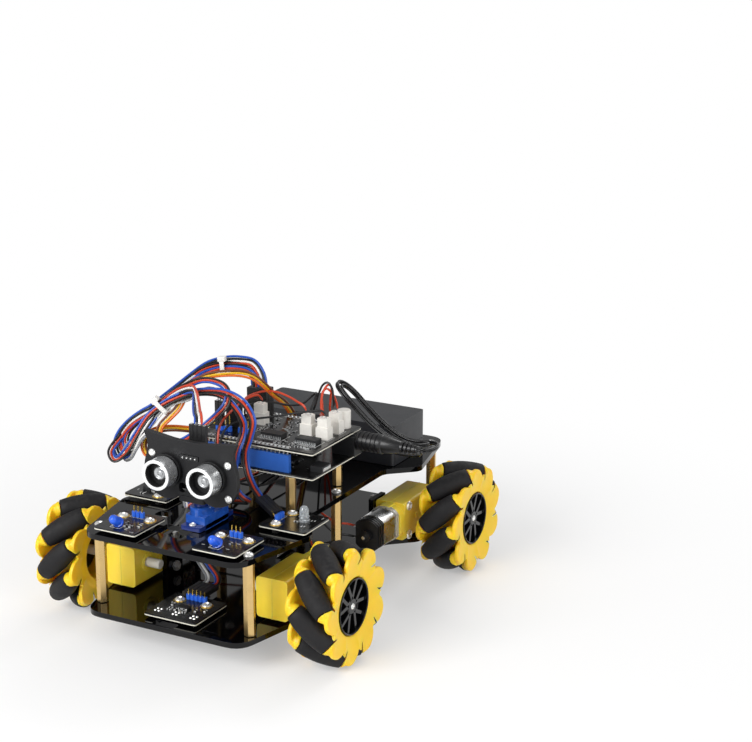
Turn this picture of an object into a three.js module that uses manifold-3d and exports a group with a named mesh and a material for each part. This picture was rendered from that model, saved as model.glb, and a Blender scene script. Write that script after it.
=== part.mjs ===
// A four-wheeled robot car with mecanum wheels, two acrylic decks and a turning distance sensor.
// Millimetres. X is to the right when the front is seen, the front faces -Y, Z is up.
// The origin is on the ground, under the middle of the car.
import * as THREE from "three";
import { mergeVertices } from "three/addons/utils/BufferGeometryUtils.js";
import Module from "manifold-3d";

const wasm = await Module();
wasm.setup();

// Clearances
const seatGap = 0.3; // between faces that rest on each other
const runningGap = 0.35; // between a turning piece and what it turns in

// Wheels
const wheelRadius = 32;
const wheelWidth = 25.5;
const track = 158; // between the middles of the left and right wheels
const wheelbase = 144;
const rollerCount = 9;
const rollerMidRadius = 6.3;
const rollerSides = 8;
const rollerBore = 1.7;
const rollerPin = 1.25;
const pinSides = 4;
const fingerSides = 5;
const roomSides = 8;
const rimThickness = 1.7;
const rimRoot = 22.8; // between two lobes of the rim plate
const rimTip = 30.7; // at the top of a lobe
const fingerTip = 2.1;
const fingerBelow = 0.8; // from the roller's end down to the lobe beside it
const rollerInset = 0.6; // from the wheel's outer face to the roller's end
const barrelGap = 1; // between the barrel and the rollers
const insertRadius = 15.3;
const bossRadius = 5.5;
const spokeCount = 5;
const spokeWidth = 1.6;
const spokeDepth = 4;
const spokeRecess = 3; // below the wheel's outer face
const spokeSpread = 0.2; // radians between a spoke's two arms and its middle
const shaftRadius = 2.7;
const shaftOverhang = 9; // past the gearbox, on its inner side

// Gear motors
const motorOffset = 47.7; // from the car's middle to the gearbox's middle
const gearboxWidth = 18.8;
const gearboxHeight = 22.4;
const gearboxLength = 37;
const shaftFromEnd = 11.7;
const neckLength = 5;
const neckRadius = 10.6;
const canRadius = 10;
const canFlats = 15.2;
const canLength = 17;
const capLength = 11;
const capRadius = 9.2;
const motorScrewFromShaft = 20.6;
const motorScrewSpacing = 17.5;
const motorScrewHead = 2.8;
const motorScrewHeight = 1.9;
const bracketThickness = 3;
const bracketWidth = 15;

// Decks
const deckThickness = 3;
const deckUnderMotors = 2; // from the lower deck's top to the gearboxes
const standoffLength = 40;
const standoffRadius = 3.1;
const deckLength = 230;
const deckCorner = 48; // half width at the front and rear edges
const hipWidth = 60; // half width beside the wheels
const hipLength = 54; // from the deck's end to the widest place
const waistWidth = 43.5;
const waistLength = 69; // from the deck's end to the narrow middle
const deckCornerRadius = 9;
const hipRadius = 4;
const standoffFromSide = 2;
const standoffFromEnd = 12.7;
const standoffFromWaist = 4.9;

// Cut-outs in the decks: the middle's x, its distance from the front edge, width and depth
const frontCut = { x: 0, fromFront: 3.8, w: 14, d: 5 };
const frontSlot = { x: 26, fromFront: 5.5, w: 9, d: 2 };
const sideSlot = { x: -49, fromFront: 48.5, w: 18, d: 4.6 };
const wireCut = { x: -10.5, fromFront: 24, w: 10, d: 12 };
const thinCut = { x: -22, fromFront: 58, w: 3, d: 7 };
const smallCut = { x: -25.5, fromFront: 42, w: 9, d: 7 };
const rearCut = { x: 0, fromFront: 149, w: 26, d: 10 };

// Boards
const boardX = 13.1;
const boardY = -13.6;
const boardLength = 68.6;
const boardDepth = 53.4;
const boardThickness = 1.6;
const boardStandoff = 20;
const boardStandoffRadius = 2.9;
const shieldGap = 12.2; // between the two boards
const jackFromFront = 45.9;
const jackHeight = 8.4; // of the plug's axis above the board
const headerWidth = 2.6;
const headerPitch = 2.54;

// Battery case
const caseX = -2.4;
const caseFromRear = 43;
const caseLength = 98;
const caseDepth = 39;
const caseHeight = 24;
const caseEdge = 2;

// Servo and the sensor that it turns
const headX = 1.5;
const headFromFront = 37.5;
const servoWidth = 12.2;
const servoLength = 22.8;
const servoTabLength = 32.4;
const servoTabThickness = 2.4;
const servoBelowTab = 15.9;
const servoAboveTab = 4.4;
const servoBossRadius = 5.9;
const servoBossHeight = 4;
const hornThickness = 4;
const hornRadius = 3.6;
const bracketPlate = 3;
const bracketFront = 9.3; // from the turning axis to the plate's front face
const bracketHalfWidth = 29;
const bracketHeight = 36;
const eyeSpacing = 27;
const eyeRadius = 8.1;
const eyeLength = 12;
const eyeHeight = 16.3; // above the bracket's bottom
const bracketScrewX = 23.3;
const bracketScrewSpacing = 18;
const bracketScrewDrop = 1.4; // from the eyes' height to the middle of the screws
const eyeDish = 6.2;
const eyeDishDepth = 3;
const sensorWidth = 46;
const sensorHeight = 21;

// Small boards on the decks
const moduleWidth = 26;
const moduleDepth = 28;
const moduleSpacer = 1.2;
const moduleScrewSpacing = 17;
const ledRadius = 2.6;
const ledHeight = 7.6;
const trackerWidth = 32;
const trackerDepth = 30;
const trackerPlace = { x: 1.5, fromFront: 20.5 };
const leftLampPlace = { x: -29.5, fromFront: 16.7 };
const rightLampPlace = { x: 31.5, fromFront: 16.7 };
const receiverPlace = { x: 45, fromFront: 59 };
const buzzerPlace = { x: -45, fromFront: 65 };

// Wires
const loomRadius = 3.2;
const loomSteps = 40;
const leadRadius = 1.05;
const leadSides = 6;
const leadSteps = 92;
const leadPitch = 2.75; // from one strand of the folded lead to the next
const foldRadius = 6.3; // of the inner loop
const cordSides = 8;
const plugRadius = 5.4;
const plugLength = 16;
const plugTaper = 10;
const reliefLength = 11;
const reliefRadius = 3.6;

// Places that follow from the sizes above
const wheelY = wheelbase / 2;
const deckFront = deckLength / 2;
const hipFrom = deckFront - hipLength;
const waistFrom = deckFront - waistLength;
const endStandoffX = deckCorner - standoffFromSide;
const endStandoffY = deckFront - standoffFromEnd;
const midStandoffX = waistWidth - standoffFromWaist;
const headY = headFromFront - deckFront;
const caseY = deckFront - caseFromRear;
const lowerDeckTop = wheelRadius - gearboxHeight / 2 - deckUnderMotors;
const rollerAxisRadius = wheelRadius - rollerMidRadius;
const rimInner = wheelWidth / 2 - rimThickness;
const barrelRadius = rollerAxisRadius - rollerMidRadius - barrelGap;
const shaftLength = track / 2 - (motorOffset - gearboxWidth / 2) + shaftOverhang;
const motorInner = motorOffset - gearboxWidth / 2;
const upperDeckBottom = lowerDeckTop + standoffLength + seatGap;
const upperDeckTop = upperDeckBottom + deckThickness;
const boardBottom = upperDeckTop + boardStandoff + seatGap;
const boardTop = boardBottom + boardThickness;
const jackY = boardY - boardDepth / 2 + jackFromFront;
const jackZ = boardTop + jackHeight;
const shieldBottom = boardTop + shieldGap;
const shieldTop = shieldBottom + boardThickness;
const servoTabBottom = upperDeckTop + seatGap;
const servoTop = servoTabBottom + servoTabThickness + servoAboveTab + servoBossHeight;
const hornBottom = servoTop + seatGap;
const bracketBottom = hornBottom + hornThickness;
const bracketFaceY = headY - bracketFront;
const eyeZ = bracketBottom + eyeHeight;

// Materials
function finish(color, roughness, metalness = 0) {
  return new THREE.MeshStandardMaterial({ color, roughness, metalness });
}
const yellowPlastic = finish(0xf2d53c, 0.45);
const blackRubber = finish(0x2c2b2d, 0.85);
const blackAcrylic = finish(0x0c0c0e, 0.12);
const blackPlastic = finish(0x1d1d1f, 0.5);
const greyPlastic = finish(0x3c3d3f, 0.55);
const blackBoard = finish(0x141416, 0.4);
const bluePlastic = finish(0x2a4e90, 0.2);
const brightMetal = finish(0xc4c6c8, 0.3, 0.9);
const wireCover = finish(0x2e55c8, 0.5);
const blackCover = finish(0x151517, 0.45);

// Solids
function solid(geometry) {
  const bare = geometry.index ? geometry.toNonIndexed() : geometry.clone();
  bare.deleteAttribute("normal");
  bare.deleteAttribute("uv");
  const merged = mergeVertices(bare, 1e-4);
  const data = {
    numProp: 3,
    vertProperties: merged.attributes.position.array,
    triVerts: new Uint32Array(merged.index.array),
  };
  return new wasm.Manifold(new wasm.Mesh(data));
}

function join(first, ...others) {
  return others.reduce((whole, piece) => whole.add(piece), first);
}

function cut(whole, ...holes) {
  return holes.reduce((left, hole) => left.subtract(hole), whole);
}

function part(name, made, material) {
  const mesh = made.getMesh();
  const positions = new THREE.BufferAttribute(new Float32Array(mesh.vertProperties), 3);
  const indexed = new THREE.BufferGeometry().setAttribute("position", positions);
  indexed.setIndex(new THREE.BufferAttribute(new Uint32Array(mesh.triVerts), 1));
  const geometry = indexed.toNonIndexed();
  geometry.computeVertexNormals();
  const object = new THREE.Mesh(geometry, material);
  object.name = name;
  return object;
}

// A box from its middle in x and y, and its bottom in z
function block(width, depth, height, x, y, bottom) {
  const geometry = new THREE.BoxGeometry(width, depth, height);
  return solid(geometry.translate(x, y, bottom + height / 2));
}

function upright(radius, height, sides, x, y, bottom, topRadius = radius) {
  const geometry = new THREE.CylinderGeometry(topRadius, radius, height, sides);
  geometry.rotateX(Math.PI / 2);
  return solid(geometry.translate(x, y, bottom + height / 2));
}

// A round bar along X, from its left end
function bar(radius, length, sides, left, y, z) {
  const geometry = new THREE.CylinderGeometry(radius, radius, length, sides);
  geometry.rotateZ(Math.PI / 2);
  return solid(geometry.translate(left + length / 2, y, z));
}

// A round bar along Y, from its front end, where endRadius is at the rear
function spigot(radius, length, sides, x, front, z, endRadius = radius) {
  const geometry = new THREE.CylinderGeometry(endRadius, radius, length, sides);
  return solid(geometry.translate(x, front + length / 2, z));
}

// Turns what was drawn along Y to another direction
function alignedTurn(direction) {
  return new THREE.Quaternion().setFromUnitVectors(new THREE.Vector3(0, 1, 0), direction);
}

// A tapered bar from one point to another
function strut(from, to, fromRadius, toRadius, sides) {
  const way = new THREE.Vector3().subVectors(to, from);
  const geometry = new THREE.CylinderGeometry(toRadius, fromRadius, way.length(), sides);
  geometry.translate(0, way.length() / 2, 0);
  geometry.applyQuaternion(alignedTurn(way.normalize()));
  return solid(geometry.translate(from.x, from.y, from.z));
}

function extruded(shape, depth, curveSegments = 4) {
  return new THREE.ExtrudeGeometry(shape, { depth, curveSegments, bevelEnabled: false });
}

// A polygon whose corners are rounded: each point is [x, y, radius]
function roundedShape(points) {
  const shape = new THREE.Shape();
  points.forEach(([x, y, radius], i) => {
    const here = new THREE.Vector2(x, y);
    const last = new THREE.Vector2(...points.at(i - 1));
    const next = new THREE.Vector2(...points[(i + 1) % points.length]);
    const start = here.clone().add(last.sub(here).setLength(radius));
    const end = here.clone().add(next.sub(here).setLength(radius));
    if (i === 0) shape.moveTo(start.x, start.y);
    else shape.lineTo(start.x, start.y);
    shape.quadraticCurveTo(here.x, here.y, end.x, end.y);
  });
  shape.closePath();
  return shape;
}

// Mecanum wheels

// The barrel shape that makes nine slanted rollers touch one cylinder
function rollerRadius(along) {
  return wheelRadius - Math.hypot(rollerAxisRadius, along / Math.SQRT2);
}

// The roller's end shows in a notch of the rim plate, just inside the wheel's outer face
function rollerHalfLength() {
  const reach = Math.SQRT2 * (wheelWidth / 2 - rollerInset);
  let half = reach;
  for (let i = 0; i < 12; i++) half = reach - rollerRadius(half);
  return half;
}
const rollerHalf = rollerHalfLength();
const fingerStart = rollerHalf + runningGap;
const fingerEnd = (wheelWidth / 2) * Math.SQRT2 - fingerTip;

// Each wheel has stopped at its own angle: start is how far its lowest roller has turned past the ground
const wheelCorners = [
  { name: "front_left", side: -1, y: -wheelY, twist: 1, start: -16 },
  { name: "front_right", side: 1, y: -wheelY, twist: 1, start: 1 },
  { name: "rear_left", side: -1, y: wheelY, twist: -1, start: 0 },
  { name: "rear_right", side: 1, y: wheelY, twist: -1, start: 10 },
];

function startAngle(corner) {
  return THREE.MathUtils.degToRad(corner.start - 90);
}

// The middle and the direction of a roller's axis, with the wheel's centre at the origin
function rollerAxis(corner, index) {
  const angle = startAngle(corner) + (index * 2 * Math.PI) / rollerCount;
  const middle = new THREE.Vector3(0, Math.cos(angle), Math.sin(angle));
  const direction = new THREE.Vector3(corner.side, -Math.sin(angle), Math.cos(angle));
  direction.y *= corner.twist;
  direction.z *= corner.twist;
  return { middle: middle.multiplyScalar(rollerAxisRadius), direction: direction.normalize() };
}

function along(axis, distance) {
  return axis.middle.clone().addScaledVector(axis.direction, distance);
}

function rollerGeometry() {
  const stations = 4;
  const profile = [new THREE.Vector2(rollerBore, -rollerHalf)];
  for (let i = 0; i < stations; i++) {
    const s = -rollerHalf + (2 * rollerHalf * i) / (stations - 1);
    profile.push(new THREE.Vector2(rollerRadius(s), s));
  }
  profile.push(new THREE.Vector2(rollerBore, rollerHalf));
  profile.push(profile[0].clone());
  return new THREE.LatheGeometry(profile, rollerSides);
}

function roller(corner, index) {
  const axis = rollerAxis(corner, index);
  const object = part(`roller_${corner.name}_${index + 1}`, solid(rollerGeometry()), blackRubber);
  object.quaternion.copy(alignedTurn(axis.direction));
  object.position.copy(axis.middle);
  return object;
}

// A rim plate with a rounded lobe over each roller's end, drawn in the plane square to the axle
function rimPlate(corner, end) {
  const lobePoints = [-0.5, -0.22, 0, 0.22];
  const lobeFrom = (wheelWidth / 2 - rimThickness / 2) / rollerAxisRadius;
  const lean = corner.twist * end * Math.atan(lobeFrom);
  const outline = [];
  for (let k = 0; k < rollerCount; k++) {
    for (const u of lobePoints) {
      const angle = startAngle(corner) + lean + ((k + u) * 2 * Math.PI) / rollerCount;
      const swell = Math.abs(Math.cos(Math.PI * u)) ** 0.6;
      const radius = rimRoot + (rimTip - rimRoot) * swell;
      outline.push(new THREE.Vector2(radius * Math.cos(angle), radius * Math.sin(angle)));
    }
  }
  const geometry = extruded(new THREE.Shape(outline), rimThickness);
  // x and y of the outline become y and z of the car, and its depth runs along x
  geometry.applyMatrix4(new THREE.Matrix4().set(0, 0, 1, 0, 1, 0, 0, 0, 0, 1, 0, 0, 0, 0, 0, 1));
  const left = end * corner.side > 0 ? rimInner : -wheelWidth / 2;
  return solid(geometry.translate(left, 0, 0));
}

function finger(axis, end) {
  const base = rollerRadius(fingerStart) - fingerBelow;
  return strut(along(axis, end * fingerStart), along(axis, end * fingerEnd), base, fingerTip, fingerSides);
}

// The notch that a roller's ends make in the two rim plates
function rollerRoom(axis) {
  const radius = rollerRadius(rollerHalf / 2) + runningGap;
  return strut(along(axis, -fingerStart), along(axis, fingerStart), radius, radius, roomSides);
}

function spokeArm(corner, angle) {
  const length = insertRadius + 1;
  const outer = wheelWidth / 2 - spokeRecess - spokeDepth / 2;
  const geometry = new THREE.BoxGeometry(spokeDepth, length, spokeWidth);
  geometry.translate(corner.side * outer, length / 2, 0);
  return solid(geometry.rotateX(angle));
}

function wheelHub(corner) {
  const boss = wheelWidth / 2 - spokeRecess;
  const shaftEnd = -shaftLength;
  const [from, to] = corner.side > 0 ? [shaftEnd, boss] : [-boss, -shaftEnd];
  const [bossFrom, bossTo] = corner.side > 0 ? [-rimInner, boss] : [-boss, rimInner];
  let hub = bar(barrelRadius, wheelWidth - 1, 18, -(wheelWidth - 1) / 2, 0, 0);
  for (const end of [-1, 1]) hub = hub.add(rimPlate(corner, end));
  const axes = Array.from({ length: rollerCount }, (_, k) => rollerAxis(corner, k));
  hub = cut(hub, ...axes.map(rollerRoom));
  for (const axis of axes) {
    const pinReach = fingerStart + 1;
    const pin = strut(along(axis, -pinReach), along(axis, pinReach), rollerPin, rollerPin, pinSides);
    hub = join(hub, finger(axis, 1), finger(axis, -1), pin);
  }
  hub = cut(hub, bar(insertRadius, wheelWidth + 2, 18, -wheelWidth / 2 - 1, 0, 0));
  const middle = bar(bossRadius, bossTo - bossFrom, 12, bossFrom, 0, 0);
  const shaft = bar(shaftRadius, to - from, 8, from, 0, 0);
  hub = join(hub, middle, shaft);
  for (let k = 0; k < spokeCount; k++) {
    const angle = (k * 2 * Math.PI) / spokeCount;
    hub = join(hub, spokeArm(corner, angle - spokeSpread), spokeArm(corner, angle + spokeSpread));
  }
  return part(`wheel_hub_${corner.name}`, hub, yellowPlastic);
}

function wheel(corner) {
  const group = new THREE.Group();
  group.position.set((corner.side * track) / 2, corner.y, wheelRadius);
  group.add(wheelHub(corner));
  for (let index = 0; index < rollerCount; index++) group.add(roller(corner, index));
  return group;
}

// Gear motors, each with its can towards the middle of the car's length
function gearMotor(corner) {
  const inward = corner.y < 0 ? 1 : -1;
  const x = corner.side * motorOffset;
  const at = (distance) => corner.y + inward * distance;
  const span = (from, to) => [(at(from) + at(to)) / 2, Math.abs(to - from)];
  const boxEnd = gearboxLength - shaftFromEnd;
  const [boxY, boxLength] = span(-shaftFromEnd, boxEnd);
  const bottom = wheelRadius - gearboxHeight / 2;
  const box = block(gearboxWidth, boxLength, gearboxHeight, x, boxY, bottom);
  const round = (radius, from, to, sides) =>
    spigot(radius, Math.abs(to - from), sides, x, Math.min(at(from), at(to)), wheelRadius);
  const neckY = span(boxEnd, boxEnd + neckLength)[0];
  const neckSides = block(gearboxWidth, neckLength + 1, 3 * neckRadius, x, neckY, 0);
  const neck = round(neckRadius, boxEnd, boxEnd + neckLength, 16).intersect(neckSides);
  const canStart = boxEnd + neckLength;
  const canEnd = canStart + canLength;
  const flats = block(canFlats, canLength + 1, 3 * canRadius, x, span(canStart, canEnd)[0], 0);
  const can = round(canRadius, canStart, canEnd, 16).intersect(flats);
  const cap = round(capRadius, canEnd, canEnd + capLength, 8).intersect(
    block(canFlats - 1, capLength + 2, 3 * canRadius, x, span(canEnd, canEnd + capLength)[0], 0),
  );
  const bore = (shaftRadius + runningGap) / Math.cos(Math.PI / 12);
  const hole = bar(bore, gearboxWidth + 2, 12, x - gearboxWidth / 2 - 1, corner.y, wheelRadius);
  let motor = join(cut(box, hole), neck, can, cap);
  for (const up of [-1, 1]) {
    const z = wheelRadius + (up * motorScrewSpacing) / 2;
    const face = x + (corner.side * gearboxWidth) / 2;
    const left = corner.side > 0 ? face - 1 : face + 1 - motorScrewHeight - 1;
    motor = motor.add(bar(motorScrewHead, motorScrewHeight + 1, 6, left, at(motorScrewFromShaft), z));
  }
  return part(`gear_motor_${corner.name}`, motor, yellowPlastic);
}

// Decks
function deckOutline() {
  const quarter = [
    [deckCorner, -deckFront, deckCornerRadius],
    [hipWidth, -hipFrom, hipRadius],
    [waistWidth, -waistFrom, hipRadius],
  ];
  const mirrored = (x, y) => ([a, b, radius]) => [a * x, b * y, radius];
  const right = [...quarter, ...quarter.map(mirrored(1, -1)).reverse()];
  return [...right, ...right.map(mirrored(-1, 1)).reverse()];
}

function deckPlate(bottom) {
  const geometry = extruded(roundedShape(deckOutline()), deckThickness, 3);
  return solid(geometry.translate(0, 0, bottom));
}

function deckCut(place, bottom) {
  return block(place.w, place.d, deckThickness + 2, place.x, place.fromFront - deckFront, bottom - 1);
}

const standoffPlaces = [-1, 1].flatMap((side) => [
  [side * endStandoffX, -endStandoffY],
  [side * midStandoffX, 0],
  [side * endStandoffX, endStandoffY],
]);

// The upright plate that a gear motor is screwed to
function motorBracket(corner) {
  const inward = corner.y < 0 ? 1 : -1;
  const x = corner.side * (motorInner - seatGap - bracketThickness / 2);
  const y = corner.y + inward * motorScrewFromShaft;
  const height = wheelRadius + gearboxHeight / 2 - lowerDeckTop;
  return block(bracketThickness, bracketWidth, height + 1, x, y, lowerDeckTop - 1);
}

function lowerDeck() {
  const bottom = lowerDeckTop - deckThickness;
  let deck = cut(deckPlate(bottom), deckCut(frontCut, bottom), deckCut(frontSlot, bottom));
  for (const [x, y] of standoffPlaces) {
    deck = deck.add(upright(standoffRadius, standoffLength + 1, 6, x, y, lowerDeckTop - 1));
  }
  for (const corner of wheelCorners) deck = deck.add(motorBracket(corner));
  return part("lower_deck", deck, blackAcrylic);
}

// Where the board's four holes are, from its front right corner
const boardHoles = [
  [-15.2, 2.6],
  [-14, 50.8],
  [-66, 17.8],
  [-66, 45.8],
].map(([x, y]) => [boardX + boardLength / 2 + x, boardY - boardDepth / 2 + y]);

function upperDeck() {
  const servoCut = {
    x: headX,
    fromFront: headFromFront - servoBossRadius + servoLength / 2,
    w: servoWidth + 2 * seatGap,
    d: servoLength + 2 * seatGap,
  };
  const places = [servoCut, sideSlot, wireCut, smallCut, thinCut, rearCut];
  let deck = cut(deckPlate(upperDeckBottom), ...places.map((p) => deckCut(p, upperDeckBottom)));
  for (const [x, y] of boardHoles) {
    deck = deck.add(upright(boardStandoffRadius, boardStandoff + 1, 6, x, y, upperDeckTop - 1));
  }
  return part("upper_deck", deck, blackAcrylic);
}

// Boards
function pcb(length, depth, x, y, bottom) {
  return block(length, depth, boardThickness, x, y, bottom);
}

function header(pins, x, y, bottom, height) {
  return block(pins * headerPitch, headerWidth, height, x, y, bottom);
}

function controllerBoard() {
  const right = boardX + boardLength / 2;
  const front = boardY - boardDepth / 2;
  const rear = boardY + boardDepth / 2;
  const inset = headerPitch;
  const tall = shieldGap - seatGap + 0.5;
  const board = pcb(boardLength, boardDepth, boardX, boardY, boardBottom);
  const low = boardTop - 0.5;
  const jack = block(14, 9, 11.5, right - 5, jackY, low);
  const jackMouth = bar(3.4, 9, 10, right - 5.5, jackY, jackZ);
  const usb = block(14, 9, 4.5, right - 5.5, front + 16, low);
  const module = block(18, 24, 3.5, boardX - 14, boardY + 2, low);
  const chip = block(8, 8, 1.8, right - 26, front + 21, low);
  const headers = [
    header(10, right - 28.3, front + inset, low, tall),
    header(8, right - 57.5, front + inset, low, tall),
    header(8, right - 36.8, rear - inset, low, tall),
    header(6, right - 57.2, rear - inset, low, tall),
  ];
  const made = join(board, cut(jack, jackMouth), usb, module, chip, ...headers);
  return part("controller_board", made, blackBoard);
}

function driverShield() {
  const right = boardX + boardLength / 2;
  const front = boardY - boardDepth / 2;
  const low = shieldTop - 0.5;
  const board = pcb(boardLength, boardDepth, boardX, boardY, shieldBottom);
  const chips = [33, 11.5].map((fromRight) => block(13, 7.5, 3, right - fromRight, front + 15, low));
  const sockets = [
    [right - 18.4, front + 27],
    [right - 7.6, front + 25.5],
    [right - 7.6, front + 38],
    [right - 52, front + 32.5],
  ].map(([x, y]) => block(7.6, 6, 12, x, y, low));
  const capacitor = upright(4, 10.5, 12, right - 8, front + 48, low);
  const strips = [header(4, right - 63, front + 12, low, 3), header(3, right - 50.5, front + 13, low, 3)];
  const pins = [];
  for (const strip of [0, 1]) {
    for (let i = 0; i < 3 + (1 - strip); i++) {
      const x = right - (strip ? 50.5 : 63) + (i - 1 - (1 - strip) / 2) * headerPitch;
      pins.push(block(0.7, 0.7, 9, x, front + 12 + strip, low));
    }
  }
  const plugs = block(13, 10.5, 17, right - 61, front + 46.5, low);
  const plugsFront = block(10, 5.5, 15, right - 62.5, front + 22, low);
  const made = join(board, ...chips, ...sockets, capacitor, ...strips, ...pins, plugs, plugsFront);
  return part("driver_shield", made, blackBoard);
}

// Battery case and its lead
function batteryCase() {
  const w = caseLength / 2;
  const d = caseDepth / 2;
  const corners = [
    [-w, -d, caseEdge],
    [w, -d, caseEdge],
    [w, d, caseEdge],
    [-w, d, caseEdge],
  ];
  const geometry = extruded(roundedShape(corners), caseHeight, 3);
  const shell = solid(geometry.translate(caseX, caseY, upperDeckTop + seatGap));
  const seam = upperDeckTop + seatGap + caseHeight * 0.72;
  const lid = block(caseLength + 2, caseDepth + 2, 0.8, caseX, caseY, seam);
  const core = block(caseLength - 1.6, caseDepth - 1.6, 1.4, caseX, caseY, seam - 0.3);
  const made = join(shell.subtract(lid), core);
  return part("battery_case", made, greyPlastic);
}

function tubeAlong(path, radius, sides, steps) {
  const section = new THREE.Shape();
  for (let i = 0; i < sides; i++) {
    const angle = (i * 2 * Math.PI) / sides;
    const place = [radius * Math.cos(angle), radius * Math.sin(angle)];
    if (i === 0) section.moveTo(...place);
    else section.lineTo(...place);
  }
  section.closePath();
  const options = { steps, extrudePath: path, curveSegments: 1, bevelEnabled: false };
  return solid(new THREE.ExtrudeGeometry(section, options));
}

const plugStart = boardX + boardLength / 2 + 2 + seatGap;
const reliefStart = plugStart + plugLength + plugTaper;
const reliefEnd = reliefStart + reliefLength;

function dcPlug() {
  const body = bar(plugRadius, plugLength, 12, plugStart, jackY, jackZ);
  const barrel = bar(2.7, 8, 8, plugStart - 7, jackY, jackZ);
  const alongAxis = (x) => new THREE.Vector3(x, jackY, jackZ);
  const bodyEnd = alongAxis(plugStart + plugLength - 1);
  const taper = strut(bodyEnd, alongAxis(reliefStart), plugRadius - 0.3, reliefRadius, 12);
  const reliefFrom = alongAxis(reliefStart - 1);
  let relief = strut(reliefFrom, alongAxis(reliefEnd), reliefRadius - 0.2, reliefRadius - 1.2, 10);
  for (let i = 0; i < 4; i++) {
    relief = cut(relief, block(1.2, 8, 2, reliefStart + 1.6 + i * 2.4, jackY, jackZ + 1.6));
  }
  return part("dc_plug", join(body, barrel, taper, relief), blackCover);
}

// The lead is folded into two long loops, one inside the other, behind the plug and up to the left.
// The middle line of the loops, from the end of the plug
const foldSpine = [
  [-10.2, 16.7, -2.6],
  [-14.7, 16.7, -2.8],
  [-19.7, 16.6, -2.1],
  [-26.5, 16.8, 0.4],
  [-34.8, 17.2, 5.2],
  [-44.5, 17.8, 12.6],
  [-52.9, 18.4, 19.6],
].map(([x, y, z]) => new THREE.Vector3(reliefEnd + x, jackY + y, jackZ + z));
const foldAcross = new THREE.Vector3(-0.093, 0.972, -0.217);
const foldLow = foldSpine[0];
const foldTop = foldSpine.at(-1);
const topWay = foldTop.clone().sub(foldSpine.at(-2)).normalize();
const lowWay = foldLow.clone().sub(foldSpine[1]).normalize();

function foldTurn(middle, way, radius, across, shares) {
  return shares.map((share) => {
    const angle = share * Math.PI;
    const point = middle.clone().addScaledVector(way, Math.abs(radius) * Math.sin(angle));
    return point.addScaledVector(foldAcross, across + radius * Math.cos(angle));
  });
}

// One loop: up the far side from its low end, round the top, and down the near side
function foldLoop(radius) {
  const inner = foldSpine.slice(1, -1);
  const far = inner.map((p) => p.clone().addScaledVector(foldAcross, radius));
  const near = inner.map((p) => p.clone().addScaledVector(foldAcross, -radius)).reverse();
  return [...far, ...foldTurn(foldTop, topWay, radius, 0, [0, 0.25, 0.5, 0.75, 1]), ...near];
}

function leadPath() {
  const outer = foldRadius + leadPitch;
  const start = new THREE.Vector3(reliefEnd + seatGap, jackY, jackZ);
  const wallHeight = upperDeckTop + 14;
  const caseWall = new THREE.Vector3(caseX + caseLength / 2 - 5, caseY - caseDepth / 2 - seatGap, wallHeight);
  const place = (x, y, z) => new THREE.Vector3(x, y, z);
  const fromStart = ([x, y, z]) => start.clone().add(place(x, y, z));
  const between = (outer + foldRadius) / 2;
  const intoFold = [
    [2.1, 0, 0],
    [4.6, 2.4, -0.1],
    [5.4, 7.4, -0.3],
    [4.4, 13.4, -0.9],
    [1.2, 19.4, -1.9],
    [-4.4, 23.9, -3.2],
    [-10.5, 25.4, -4.4],
  ];
  const outOfFold = [
    [-11, 11.8, -3.4],
    [-7.8, 15.2, -7.2],
    [-10.5, 21.4, -10.6],
    [-18, 26.9, -13.4],
    [-29, 31.4, -15.4],
  ];
  return [
    start,
    ...intoFold.map(fromStart),
    ...foldLoop(outer),
    ...foldTurn(foldLow, lowWay, -between, (foldRadius - outer) / 2, [0.05, 0.27, 0.5, 0.73, 0.95]),
    ...foldLoop(foldRadius),
    ...outOfFold.map(fromStart),
    caseWall.clone().add(place(3.5, -8, 0.4)),
    caseWall.clone().add(place(0, -2.1, 0)),
    caseWall,
  ];
}

// The least distance between two stretches of a curve that aren't neighbours
function leastGap(path, radius, apart) {
  const places = path.getSpacedPoints(400);
  const step = path.getLength() / 400;
  const skip = Math.ceil(apart / step);
  let least = Infinity;
  for (let i = 0; i < places.length; i++) {
    for (let j = i + skip; j < places.length; j++) {
      least = Math.min(least, places[i].distanceTo(places[j]));
    }
  }
  return least - 2 * radius;
}

function batteryLead() {
  const path = new THREE.CatmullRomCurve3(leadPath(), false, "centripetal");
  const gap = leastGap(path, leadRadius, 12).toFixed(2);
  console.log(`battery lead: ${path.getLength().toFixed(0)} mm long, least gap to itself ${gap} mm`);
  return part("battery_lead", tubeAlong(path, leadRadius, leadSides, leadSteps), blackCover);
}

// The sensor's servo, held by its two tabs on the upper deck
function servoMotor() {
  const middle = headY - servoBossRadius + servoLength / 2;
  const body = block(
    servoWidth,
    servoLength,
    servoBelowTab + servoTabThickness + servoAboveTab,
    headX,
    middle,
    servoTabBottom - servoBelowTab,
  );
  const tabs = block(servoWidth, servoTabLength, servoTabThickness, headX, middle, servoTabBottom);
  const top = servoTop - servoBossHeight - 0.5;
  const boss = upright(servoBossRadius, servoBossHeight + 0.5, 16, headX, headY, top);
  const second = upright(2.6, servoBossHeight + 0.5, 10, headX, headY + 7.6, top);
  let made = join(body, tabs, boss, second);
  for (const end of [-1, 1]) {
    const y = middle + (end * (servoTabLength + servoLength)) / 4;
    made = made.add(upright(1.9, 2, 8, headX, y, servoTabBottom + servoTabThickness - 0.5));
  }
  return part("servo", made, bluePlastic);
}

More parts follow.
